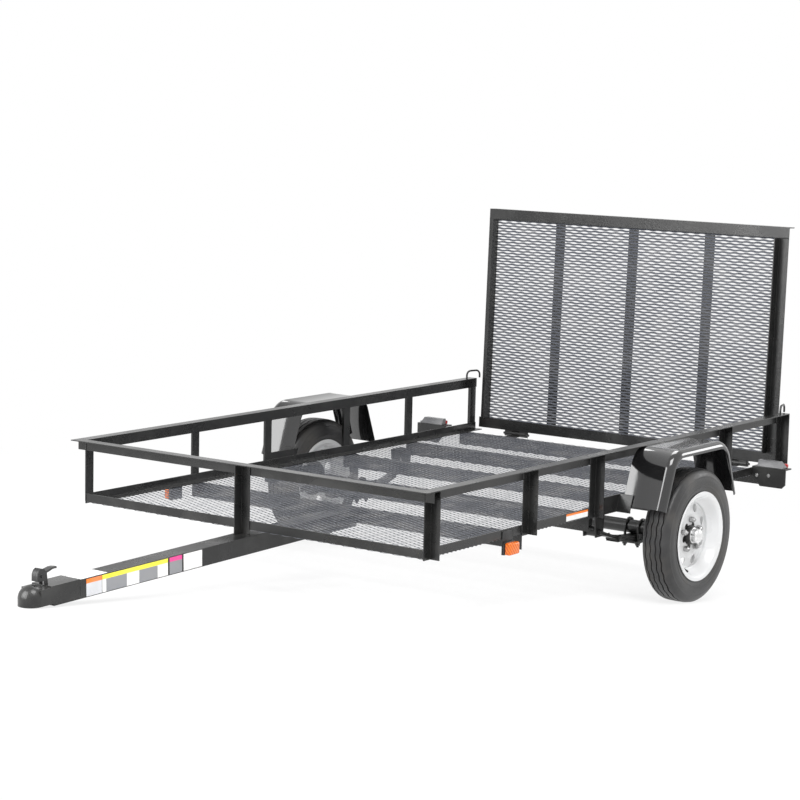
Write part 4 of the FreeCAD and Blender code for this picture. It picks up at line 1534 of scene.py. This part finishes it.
@dataclass
class LeafPack:
    """Stacked leaves of one side with their eyes, clips and clamp nuts.

    Attributes:
        side: Side of the trailer.
        axle: Y and Z of the axle.
        middle: X of the pack's middle.
        width: Width of a leaf.
        half: Half length between the eyes.
        sag: Height of the eyes over the middle.
        tube: Radius of the axle's tube.
        leaves: Share of the length of each leaf, from the top.
        thick: Thickness of a leaf.
        eye: Outer radius of an eye.
        stations: Steps of a leaf.
        bolt_gap: How far a bolt's middle stands off the leaf or the tube beside it.
        clip: Thickness of a rebound clip.
        clip_half: Half length of a rebound clip.
    """

    side: Side
    axle: Flat = LEVEL.axle
    middle: float = LEVEL.frame - 0.085
    width: float = 0.045
    half: float = 0.300
    sag: float = 0.062
    tube: float = 0.025
    leaves: tuple[float, ...] = (1.0, 0.80, 0.58)
    thick: float = 0.0064
    eye: float = 0.018
    stations: int = 20
    bolt_gap: float = 0.005
    clip: float = 0.003
    clip_half: float = 0.010

    def height(self, along: float, leaf: int) -> float:
        """Height of a leaf's top at a place along it."""
        return self.axle[1] - self.tube - leaf * (self.thick + 0.0003) + self.sag * (along / self.half) ** 2

    def build(self, bench: Bench) -> None:
        """Build the pack and its small parts.

        Args:
            bench: Bench that keeps the pieces.
        """
        bm = bmesh.new()
        for leaf, share in enumerate(self.leaves):
            self.add_leaf(bm, leaf, self.half * share - (0.004 if leaf == 0 else 0.0))
        for sign in (-1, 1):
            self.add_eye(bm, sign)
            self.add_clip(bm, sign * self.half * 0.52)
        bench.keep_side(bm, "leaf_pack", self.side, Finish.BLACK_PAINT, replaces="leaf_spring")
        nuts = bmesh.new()
        low = self.axle[1] - self.tube - 0.028
        beside = self.width / 2 + self.bolt_gap
        for x in (-1, 1):
            for y in (-1, 1):
                at = (self.middle + x * beside, self.axle[0] + y * (self.tube + self.bolt_gap), low)
                add_hex(nuts, at, (0, 0, -1), 0.0155, 0.0085, 0.0105)
        add_hex(nuts, (self.middle, self.axle[0], low), (0, 0, -1), 0.0125, 0.006)
        for sign in (-1, 1):
            for x in (-1, 1):
                seat = (self.middle + x * beside, self.axle[0] + sign * self.half, self.eye_level())
                add_hex(nuts, seat, (x, 0, 0), 0.0190, 0.0095, 0.0130)
        bench.keep_side(nuts, "spring_nuts", self.side, Finish.WELD_BEAD)

    def eye_level(self) -> float:
        """Height of the eyes' middles."""
        return self.axle[1] - self.tube - 0.010 + self.sag

    def add_leaf(self, bm: bmesh.types.BMesh, leaf: int, reach: float) -> None:
        """Carry a leaf's section from one end to the other along its curve.

        Args:
            bm: Mesh to add to.
            leaf: Number of the leaf from the top.
            reach: Half length of the leaf.
        """
        end = (self.middle, self.axle[0] - reach, self.height(-reach, leaf) - self.thick / 2)
        faces = add_section(bm, Matrix.Translation(end) @ UPRIGHT, self.width, self.thick)
        long_edges: list[Any] = []
        for n in range(self.stations):
            here = reach * (2 * n / self.stations - 1)
            there = reach * (2 * (n + 1) / self.stations - 1)
            rise = self.height(there, leaf) - self.height(here, leaf)
            verts, faces = grow(bm, faces, (0, there - here, rise))
            long_edges += [edge for vert in verts for edge in vert.link_edges if edge not in faces[0].edges]
        round_edges(bm, once(long_edges), 0.0012, 2)

    def add_eye(self, bm: bmesh.types.BMesh, sign: int) -> None:
        """Spin the rolled eye at one end, with its bushing.

        Args:
            bm: Mesh to add to.
            sign: -1 for the front eye, 1 for the rear one.
        """
        centre = Vector((self.middle, self.axle[0] + sign * self.half, self.eye_level()))
        half = self.width / 2
        bushing = half + 0.0012
        outline = [(-half, self.eye), (half, self.eye), (half, self.eye - 0.0055),
                   (bushing, self.eye - 0.006), (bushing, 0.0065), (-bushing, 0.0065),
                   (-bushing, self.eye - 0.006), (-half, self.eye - 0.0055)]
        section = [centre + Vector((x, 0, radius)) for x, radius in outline]
        bmesh.ops.spin(bm, geom=draw_line(bm, section, closed=True), cent=centre, axis=(1, 0, 0),
                       angle=2 * math.pi, steps=32, use_merge=True)

    def add_clip(self, bm: bmesh.types.BMesh, along: float) -> None:
        """Add a rebound clip round the leaves.

        Args:
            bm: Mesh to add to.
            along: Place of the clip from the middle.
        """
        y = self.axle[0] + along
        top = self.height(along, 0)
        low = self.height(along, 2) - self.thick - self.clip
        half = self.width / 2
        front, rear = y - self.clip_half, y + self.clip_half
        add_slab(bm, (self.middle - half - self.clip, front, low),
                 (self.middle + half + self.clip, rear, low + self.clip), 0.0008)
        for x in (-1, 1):
            sides = sorted((self.middle + x * half, self.middle + x * (half + self.clip)))
            add_slab(bm, (sides[0], front, low), (sides[1], rear, top + 0.004), 0.0008)


# --- Lamps ----------------------------------------------------------------------------------

@dataclass
class Lamps:
    """Tail lamp, its bolts and the side marker of one side.

    Attributes:
        side: Side of the trailer.
        front: Y of the lamp's front.
        depth: Depth of the lamp.
        start: X of its inner end.
        end: X of its outer end.
        seat: Height of its seat.
        height: Height of the lamp.
        share: Share of the depth that the housing takes.
        bolts: X and Z of the bracket's bolts.
        marker: Y of the side marker.
        marker_foot: Height of its lower edge.
        rail: X of the deck rail's face.
    """

    side: Side
    front: float = 0.982
    depth: float = 0.052
    start: float = LEVEL.frame + 0.020
    end: float = LEVEL.frame + 0.133
    seat: float = LEVEL.deck_top + 0.006
    height: float = 0.026
    share: float = 0.66
    bolts: tuple[Flat, ...] = ((0.757, 0.361), (0.808, 0.364))
    marker: float = -0.731
    marker_foot: float = LEVEL.deck_top - 0.085
    rail: float = LEVEL.frame

    def build(self, bench: Bench) -> None:
        """Build the lamps.

        Args:
            bench: Bench that keeps the pieces.
        """
        self.build_tail(bench)
        self.build_marker(bench)

    def build_tail(self, bench: Bench) -> None:
        """Build the tail lamp's housing, lens and bracket bolts.

        Args:
            bench: Bench that keeps the pieces.
        """
        split = self.front + self.depth * self.share
        top = self.seat + self.height
        rear = self.front + self.depth
        housing = bmesh.new()
        add_slab(housing, (self.start, self.front, self.seat), (self.end, split, top), 0.0002, 1)
        cut_plane(housing, (0, self.front + 0.012, top), (0, -0.94, 0.34), clear_outer=True)
        cut_plane(housing, (self.end - 0.020, 0, top), (1, 0, 1), clear_outer=True)
        bmesh.ops.holes_fill(housing, edges=[edge for edge in housing.edges if edge.is_boundary], sides=0)
        bmesh.ops.remove_doubles(housing, verts=housing.verts, dist=0.0006)
        corners = [edge for edge in housing.edges if edge.is_manifold and edge.calc_face_angle() > 0.5]
        round_edges(housing, corners, 0.0022, 3, clamp_overlap=True)
        bench.keep_side(housing, "lamp_housing", self.side, Finish.LAMP_HOUSING, replaces="tail_lamp")
        lens = bmesh.new()
        add_slab(lens, (self.start + 0.002, split, self.seat + 0.0005),
                 (self.end - 0.001, rear, top - 0.010), 0.004, 3)
        bench.keep_side(lens, "lamp_lens", self.side, Finish.RED_LENS)
        bolts = bmesh.new()
        for x, z in self.bolts:
            add_hex(bolts, (x, self.front, z), (0, -1, 0), 0.0095, 0.004, 0.0070)
        for x in (self.start + 0.03, self.end - 0.03):
            add_hex(bolts, (x, self.front + 0.026, self.seat - 0.005), (0, 0, -1), 0.011, 0.006, 0.008)
        bench.keep_side(bolts, "lamp_bolts", self.side, Finish.ZINC_PLATE)

    def build_marker(self, bench: Bench) -> None:
        """Build the side marker's plate and ribbed lens.

        Args:
            bench: Bench that keeps the pieces.
        """
        plate = bmesh.new()
        self.add_layer(plate, (0.0, 0.0032), 0.032, (0.0, 0.080), 0.0006)
        self.add_layer(plate, (0.0032, 0.011), 0.0315, (0.0, 0.0435), 0.002)
        bench.keep_side(plate, "marker_plate", self.side, Finish.WELD_BEAD, replaces="side_marker")
        lens = bmesh.new()
        self.add_layer(lens, (0.011, 0.0332), 0.0305, (0.001, 0.0425), 0.006, 4)
        bench.keep_side(lens, "marker_lens", self.side, Finish.AMBER_LENS)

    def add_layer(self, bm: bmesh.types.BMesh, out: Flat, half: float, rise: Flat, bevel: float,
                  segments: int = 2) -> None:
        """Add one layer of the side marker.

        Args:
            bm: Mesh to add to.
            out: Its inner and outer face, as offsets from the rail.
            half: Half length of the layer.
            rise: Its lower and upper edge, as offsets from the marker's foot.
            bevel: Width of the edges' rounding.
            segments: Segments of the rounding.
        """
        add_slab(bm, (self.rail + out[0], self.marker - half, self.marker_foot + rise[0]),
                 (self.rail + out[1], self.marker + half, self.marker_foot + rise[1]), bevel, segments)


# --- Coupler and tongue ---------------------------------------------------------------------

@dataclass
class CouplerTrim:
    """Latch lever and welds of the coupler, on the sloping tongue.

    Attributes:
        hinge: Y and Z that the tongue slopes down from.
        slope: Slope of the tongue, in degrees.
        ball: Y of the ball's middle, drawn level.
        cheek: X of the coupler's side face.
        handle_gauge: Thickness of the lever's handle.
    """

    hinge: Flat = (-0.644, LEVEL.under_deck)
    slope: float = 1.3
    ball: float = -2.212
    cheek: float = 0.042
    handle_gauge: float = 0.0065

    def place(self) -> Matrix:
        """Matrix that slopes what is drawn along the level tongue."""
        there = Matrix.Translation((0, *self.hinge))
        return there @ Matrix.Rotation(math.radians(self.slope), 4, "X") @ there.inverted()

    def build(self, bench: Bench) -> None:
        """Build the trim.

        Args:
            bench: Bench that keeps the pieces.
        """
        bead = bmesh.new()
        rear, top = self.ball + 0.1685, self.hinge[1]
        for side in (0.001 - self.cheek, self.cheek - 0.001):
            add_bead(bead, (side, rear, top - 0.050), (side, rear, top + 0.002))
        add_bead(bead, (-self.cheek, rear, top + 0.0015), (self.cheek, rear, top + 0.0015))
        bench.keep(bead, "coupler_welds", FRAME_BODY, Finish.WELD_BEAD, place=self.place(), sharp=60.0)
        self.build_lever(bench)

    def build_lever(self, bench: Bench) -> None:
        """Build the latch lever: two cheeks over the dome with a web between them, a handle and a pin.

        Args:
            bench: Bench that keeps the pieces.
        """
        foot = self.hinge[1] + 0.004
        lever = bmesh.new()
        front = ((0.014, 0.015), (0.015, 0.037), (0.021, 0.048), (0.030, 0.053), (0.043, 0.050))
        cheek = front + ((0.054, 0.038), (0.058, 0.0), (0.045, 0.0), (0.044, 0.013))
        web = front + ((0.042, 0.0465), (0.031, 0.0495), (0.024, 0.0455), (0.0185, 0.036), (0.0175, 0.015))
        for shape, x, width in ((cheek, -0.013, 0.0035), (cheek, 0.0095, 0.0035), (web, -0.0095, 0.019)):
            places = [(x, self.ball + along, foot + rise) for along, rise in shape]
            outline = draw_line(lever, places, closed=True)
            side = bmesh.ops.contextual_create(lever, geom=outline)["faces"]
            grow(lever, side, (width, 0, 0))
        handle = ((0.034, 0.0400, 0.0130), (0.052, 0.0390, 0.0128), (0.066, 0.0420, 0.0120),
                  (0.080, 0.0455, 0.0105), (0.092, 0.0460, 0.0085), (0.103, 0.0440, 0.0060))
        self.sweep_handle(lever, [(self.ball + along, foot + rise, half) for along, rise, half in handle])
        bmesh.ops.recalc_face_normals(lever, faces=lever.faces)
        bench.keep(lever, "latch_lever", FRAME_BODY, Finish.WELD_BEAD, place=self.place(),
                   replaces=["coupler_lever"], sharp=40.0)
        pin = bmesh.new()
        at = (self.ball + 0.032, foot + 0.028)
        add_bar(pin, (-0.0165, *at), (0.0165, *at), 0.0042, 16)
        bench.keep(pin, "lever_pin", FRAME_BODY, Finish.WELD_BEAD, place=self.place())

    def sweep_handle(self, bm: bmesh.types.BMesh, stations: Sequence[Point]) -> None:
        """Carry the handle's section back along its stations.

        Args:
            bm: Mesh to add to.
            stations: Y, Z and half width of each station.
        """
        y, z, half = stations[0]
        faces = add_section(bm, Matrix.Translation((0, y, z)) @ UPRIGHT, 2 * half, self.handle_gauge)
        for (y, z, half), (to_y, to_z, to_half) in zip(stations, stations[1:]):
            verts, faces = grow(bm, faces, (0, to_y - y, to_z - z))
            bmesh.ops.scale(bm, vec=(to_half / half, 1, 1), verts=verts)


@dataclass
class Labels:
    """Blank vinyl panels with plain colour bands on the tongue and the deck rail.

    Attributes:
        face: X of the tongue's left face.
        low: Height of the panels' lower edge.
        high: Height of their upper edge.
        band: Height of a colour band.
        film: Thickness of the vinyl.
        top_run: Front and rear Y of the panel on the tongue's top.
        rail_run: Front and rear Y of the panel on the deck rail.
        rail_drop: Depth of its lower and upper edge below the deck rail's top.
        panels: Front and rear Y, body finish and band finish of each panel.
    """

    face: float = 0.038
    low: float = LEVEL.under_deck - 0.0575
    high: float = LEVEL.under_deck - 0.0025
    band: float = 0.014
    film: float = 0.0006
    top_run: Flat = (-2.040, -1.915)
    rail_run: Flat = (-0.365, -0.225)
    rail_drop: Flat = (0.0275, 0.0025)
    panels: tuple[tuple[float, float, Finish, Finish], ...] = (
        (-2.014, -1.945, Finish.VINYL_SILVER, Finish.VINYL_ORANGE),
        (-1.943, -1.926, Finish.VINYL_WHITE, Finish.VINYL_YELLOW),
        (-1.926, -1.832, Finish.VINYL_GREY, Finish.VINYL_YELLOW),
        (-1.832, -1.775, Finish.VINYL_WHITE, Finish.VINYL_YELLOW),
        (-1.775, -1.689, Finish.VINYL_GREY, Finish.VINYL_YELLOW),
        (-1.689, -1.640, Finish.VINYL_WHITE, Finish.VINYL_YELLOW),
        (-1.632, -1.572, Finish.VINYL_GREY, Finish.VINYL_PINK),
        (-1.564, -1.474, Finish.VINYL_WHITE, Finish.VINYL_WHITE))

    def build(self, bench: Bench) -> None:
        """Lay the panels on the tongue's left face and one on the deck rail.

        Args:
            bench: Bench that keeps the pieces.
        """
        tongue = CouplerTrim().place()
        for number, (front, rear, body, band) in enumerate(self.panels, 1):
            self.lay(bench, f"tongue_panel_{number}", (front, rear), (self.low, self.high), self.face,
                     body, band, tongue)
        top = bmesh.new()
        half = self.face - 0.004
        add_slab(top, (-half, self.top_run[0], LEVEL.under_deck),
                 (half, self.top_run[1], LEVEL.under_deck + self.film), 0.0001, 1)
        bench.keep(top, "tongue_top_panel", FRAME_BODY, Finish.VINYL_WHITE, place=tongue)
        low, high = (LEVEL.deck_top - drop for drop in self.rail_drop)
        self.lay(bench, "deck_rail_panel", self.rail_run, (low, high), LEVEL.frame,
                 Finish.VINYL_WHITE, Finish.VINYL_ORANGE, Matrix.Identity(4))

    def lay(self, bench: Bench, name: str, along: Flat, rise: Flat, face: float, body: Finish, band: Finish,
            place: Matrix) -> None:
        """Lay one panel with its colour band.

        Args:
            bench: Bench that keeps the piece.
            name: Name of the piece.
            along: Front and rear Y.
            rise: Lower and upper Z.
            face: X of the face that it lies on.
            body: Finish of the panel.
            band: Finish of the band along its upper edge.
            place: Matrix from its level place.
        """
        bm = bmesh.new()
        add_slab(bm, (face, along[0], rise[0]), (face + self.film, along[1], rise[1]), 0.0001, 1)
        cut = rise[1] - min(self.band, 0.3 * (rise[1] - rise[0]))
        cut_plane(bm, (0, 0, cut), (0, 0, 1))
        for item in bm.faces:
            item.material_index = int(item.calc_center_median().z > cut)
        bench.keep(bm, name, FRAME_BODY, body, band, place=place)


# --- Welds, hinges and latches --------------------------------------------------------------

@dataclass
class Welds:
    """Weld beads where the frame's members meet, and the tabs that close its front corners.

    Attributes:
        half: Half width of the frame.
        leg: Leg of the angle sections.
        rail_top: Height of the top rail.
        deck_top: Height of the deck rail's top.
        fronts: Front faces of the side posts.
    """

    half: float = LEVEL.frame
    leg: float = LEVEL.leg
    rail_top: float = LEVEL.rail_top
    deck_top: float = LEVEL.deck_top
    fronts: tuple[float, ...] = (-1.210, -0.644, -0.220, 0.277, 0.704, 1.169)

    def build(self, bench: Bench) -> None:
        """Run the beads.

        Args:
            bench: Bench that keeps the pieces.
        """
        face = self.half + 0.0005
        deck = (self.deck_top - 0.030, self.deck_top - 0.001)
        rail = (self.rail_top - 0.036, self.rail_top - 0.005)
        under = self.rail_top - 0.0040
        for side in Side:
            bm = bmesh.new()
            for front in self.fronts:
                rear = front + self.leg
                for y, (low, high) in ((front, deck), (rear + 0.0005, deck), (front, rail)):
                    add_bead(bm, (face, y, low), (face, y, high))
                add_bead(bm, (self.half + 0.004, rear, under), (self.half + 0.036, rear, under))
            tab = bmesh.new()
            add_slab(tab, (self.half, self.fronts[0], self.rail_top - self.leg),
                     (self.half + self.leg, self.fronts[0] + 0.0032, self.rail_top - 0.0032), 0.0004, 1)
            bench.keep_side(tab, "corner_tab", side, Finish.BLACK_PAINT)
            bench.keep_side(bm, "frame_welds", side, Finish.WELD_BEAD, sharp=60.0)


@dataclass
class GateTrim:
    """Hinge washers and split pins, and the gate's weld beads.

    Attributes:
        pivot: Y and Z of the hinge pins.
        hinges: X of each hinge's middle.
        length: Length of a hinge pin.
        pin: Radius of a hinge pin.
        half: Half width of the gate.
        leg: Leg of the gate's angle sections.
        bead: Radius of the gate's weld beads.
        top: Height of the gate's top over the pins.
        bars: X of the gate's bars.
        front: Y of the gate's front face over the pins.
    """

    pivot: Flat = LEVEL.pivot
    hinges: tuple[float, ...] = (-0.531, 0.531)
    length: float = 0.106
    pin: float = 0.006
    half: float = LEVEL.gate_half
    leg: float = LEVEL.gate_leg
    bead: float = 0.0024
    top: float = LEVEL.gate_top
    bars: tuple[float, ...] = (-0.357, 0.0, 0.357)
    front: float = -0.008

    def build(self, bench: Bench) -> None:
        """Build the trim.

        Args:
            bench: Bench that keeps the pieces.
        """
        pins = bmesh.new()
        y, z = self.pivot
        for x in self.hinges:
            for sign in (-1, 1):
                end = x + sign * self.length / 2
                washer, split, tip = (end + sign * reach for reach in (0.002, 0.005, 0.011))
                add_bar(pins, (end, y, z), (washer, y, z), 0.011, 20)
                add_bar(pins, (washer, y, z), (tip, y, z), self.pin, 16, self.pin * 0.8)
                add_bar(pins, (split, y, z - 0.013), (split, y, z + 0.013), 0.0013, 8)
        bench.keep(pins, "hinge_pin_ends", FRAME_BODY, Finish.BLACK_PAINT)
        beads = bmesh.new()
        for side in (-1, 1):
            for low in (0.057, self.top - self.leg):
                inner, outer = side * (self.half - self.leg), side * self.half
                add_bead(beads, (inner, self.front, low), (outer, self.front, low), self.bead)
        for x in self.bars:
            for low in (0.0175, self.top - 0.0045):
                add_bead(beads, (x - 0.020, 0.006, low), (x + 0.020, 0.006, low), self.bead)
        bench.keep(beads, "gate_welds", GATE_BODY, Finish.WELD_BEAD, place=LEVEL.gate_stand(), sharp=60.0)


# --- Studio ---------------------------------------------------------------------------------

@dataclass
class Studio:
    """Floor, soft light, white surroundings and the camera.

    Attributes:
        eye: Camera's place in the level frame.
        yaw: Turn of the view to the trailer's left, in degrees.
        pitch: How far it looks down, in degrees.
        roll: Roll of the camera, in degrees.
        lens: Focal length for a 36 mm sensor, in millimetres.
        surround: Strength of the light from all round.
        floor_size: Size of the floor.
        floor_glow: How much of the floor under the trailer shows plain white.
        lights: Name, place, aim, size and power of each lamp.
    """

    eye: Point = (5.0746, -7.2704, 1.9012)
    yaw: float = 36.25
    pitch: float = 7.895
    roll: float = 1.289
    lens: float = 107.67
    surround: float = 0.62
    floor_size: float = 80.0
    floor_glow: float = 0.82
    lights: tuple[tuple[str, Point, Point, float, float], ...] = (
        ("key", (3.5, -3.0, 6.5), (0.3, 0.4, 0.3), 4.0, 460.0),
        ("fill", (-1.60, -5.2, 1.95), (0.4, 0.3, 0.4), 3.6, 290.0),
        ("rim", (4.60, 7.5, 3.4), (0.9, 0.3, 0.4), 2.4, 110.0),
        ("back", (-1.5, 3.2, 7.0), (0.0, 0.4, 0.4), 4.0, 300.0))

    def build(self, park: Matrix) -> None:
        """Set up the studio round the parked trailer.

        Args:
            park: Matrix from level to parked.
        """
        self.build_camera(park)
        self.build_floor()
        self.build_world()
        for name, place, target, size, power in self.lights:
            self.build_light(name, place, target, size, power)
        bpy.context.scene.view_settings.view_transform = "Standard"

    def build_camera(self, park: Matrix) -> None:
        """Stand the camera where the whole trailer shows from its front left.

        Args:
            park: Matrix from level to parked.
        """
        yaw, pitch, roll = (math.radians(angle) for angle in (self.yaw, self.pitch, self.roll))
        back = Vector((math.sin(yaw) * math.cos(pitch), -math.cos(yaw) * math.cos(pitch), math.sin(pitch)))
        right = Vector((math.cos(yaw), math.sin(yaw), 0))
        up = back.cross(right)
        across = right * math.cos(roll) + up * math.sin(roll)
        upright = up * math.cos(roll) - right * math.sin(roll)
        turn = Matrix((across, upright, back)).transposed().to_4x4()
        data = bpy.data.cameras.new("camera")
        data.lens = self.lens
        data.sensor_width = 36.0
        data.clip_end = 200.0
        camera = put("camera", data)
        camera.matrix_world = park @ Matrix.Translation(self.eye) @ turn
        bpy.context.scene.camera = camera

    def seen(self, sketch: Sketch) -> bpy.types.NodeSocket:
        """1 for rays that show the surroundings: from the camera, a mirror or glass.

        Args:
            sketch: Sketch of the tree that asks.

        Returns:
            The socket.
        """
        path = sketch.add("LightPath").outputs
        glossy = sketch.sum_up("MAXIMUM", path["Is Camera Ray"], path["Is Glossy Ray"])
        return sketch.sum_up("MAXIMUM", glossy, path["Is Transmission Ray"])

    def show(self, sketch: Sketch, share: Any, first: Any, second: Any, output: str) -> None:
        """Show a mix of two shaders.

        Args:
            sketch: Sketch of the tree.
            share: Share of the second shader.
            first: First shader's socket.
            second: Second shader's socket.
            output: Name of the tree's output node.
        """
        mix = sketch.add("MixShader")
        for name, value in (("Fac", share), (1, first), (2, second)):
            sketch.feed(mix.inputs[name], value)
        sketch.feed(sketch.tree.nodes[output].inputs["Surface"], mix.outputs["Shader"])

    def build_floor(self) -> None:
        """Lay the pale floor, which shows white and keeps the trailer's shadow."""
        bm = bmesh.new()
        bmesh.ops.create_grid(bm, x_segments=8, y_segments=8, size=self.floor_size / 2)
        mix = Mix.start("pale_floor", {})
        mix.give(mix.between(mix.noise(mix.place, 0.8, 2.0), 0.93, 0.95), 0.9, Specular_IOR_Level=0.0)
        glow = mix.add("Emission")
        glow.inputs["Strength"].default_value = 1.0
        away = mix.add("VectorMath", operation="LENGTH")
        mix.feed(away.inputs[0], mix.place)
        share = mix.remap(away.outputs["Value"], 1.8, 4.5, self.floor_glow, 1.0)
        glowing = mix.sum_up("MULTIPLY", self.seen(mix), share)
        self.show(mix, glowing, mix.shader.outputs["BSDF"], glow.outputs["Emission"], "Material Output")
        mesh = cast(bm, "floor")
        mesh.materials.append(mix.material)
        floor = put("floor", mesh)

    def build_world(self) -> None:
        """Light the trailer softly from all round, on a plain white background."""
        world = bpy.data.worlds.new("studio")
        world.use_nodes = True
        bpy.context.scene.world = world
        sketch = Sketch(world.node_tree)
        soft = world.node_tree.nodes["Background"]
        soft.inputs["Color"].default_value = (1, 1, 1, 1)
        soft.inputs["Strength"].default_value = self.surround
        white = sketch.add("Background")
        white.inputs["Color"].default_value = (1, 1, 1, 1)
        white.inputs["Strength"].default_value = 1.0
        self.show(sketch, self.seen(sketch), soft.outputs["Background"], white.outputs["Background"],
                  "World Output")

    def build_light(self, name: str, place: Point, target: Point, size: float, power: float) -> None:
        """Hang one soft lamp.

        Args:
            name: Name of the lamp.
            place: Where it hangs.
            target: What it points at.
            size: Width of its square face.
            power: Power in watts.
        """
        data = bpy.data.lights.new(name, "AREA")
        data.size = size
        data.energy = power
        lamp = put(name, data)
        lamp.matrix_world = aim(place, Vector(place) - Vector(target))


def main() -> None:
    """Dress the trailer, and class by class."""
    logging.basicConfig(level=logging.INFO, format="%(name)s: %(message)s")
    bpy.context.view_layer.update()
    effects = SharedEffects()
    effects.build()
    materials = {recipe.finish: recipe.material(effects.groups) for recipe in FINISHES}
    bench = Bench(Parking().matrix(frame["joints"]), materials)
    bench.dress_nodes(frame["nodes"], frame["record"])
    assemblies: list[Any] = [Sheets()]
    for side in Side:
        assemblies += [Wheel(side), FenderSheet(side), LeafPack(side), Lamps(side)]
    assemblies += [CouplerTrim(), Labels(), Welds(), GateTrim()]
    for assembly in assemblies:
        assembly.build(bench)
    Studio().build(bench.park)
    LOG.info("%d pieces", bench.count)


if __name__ == "__main__":
    main()
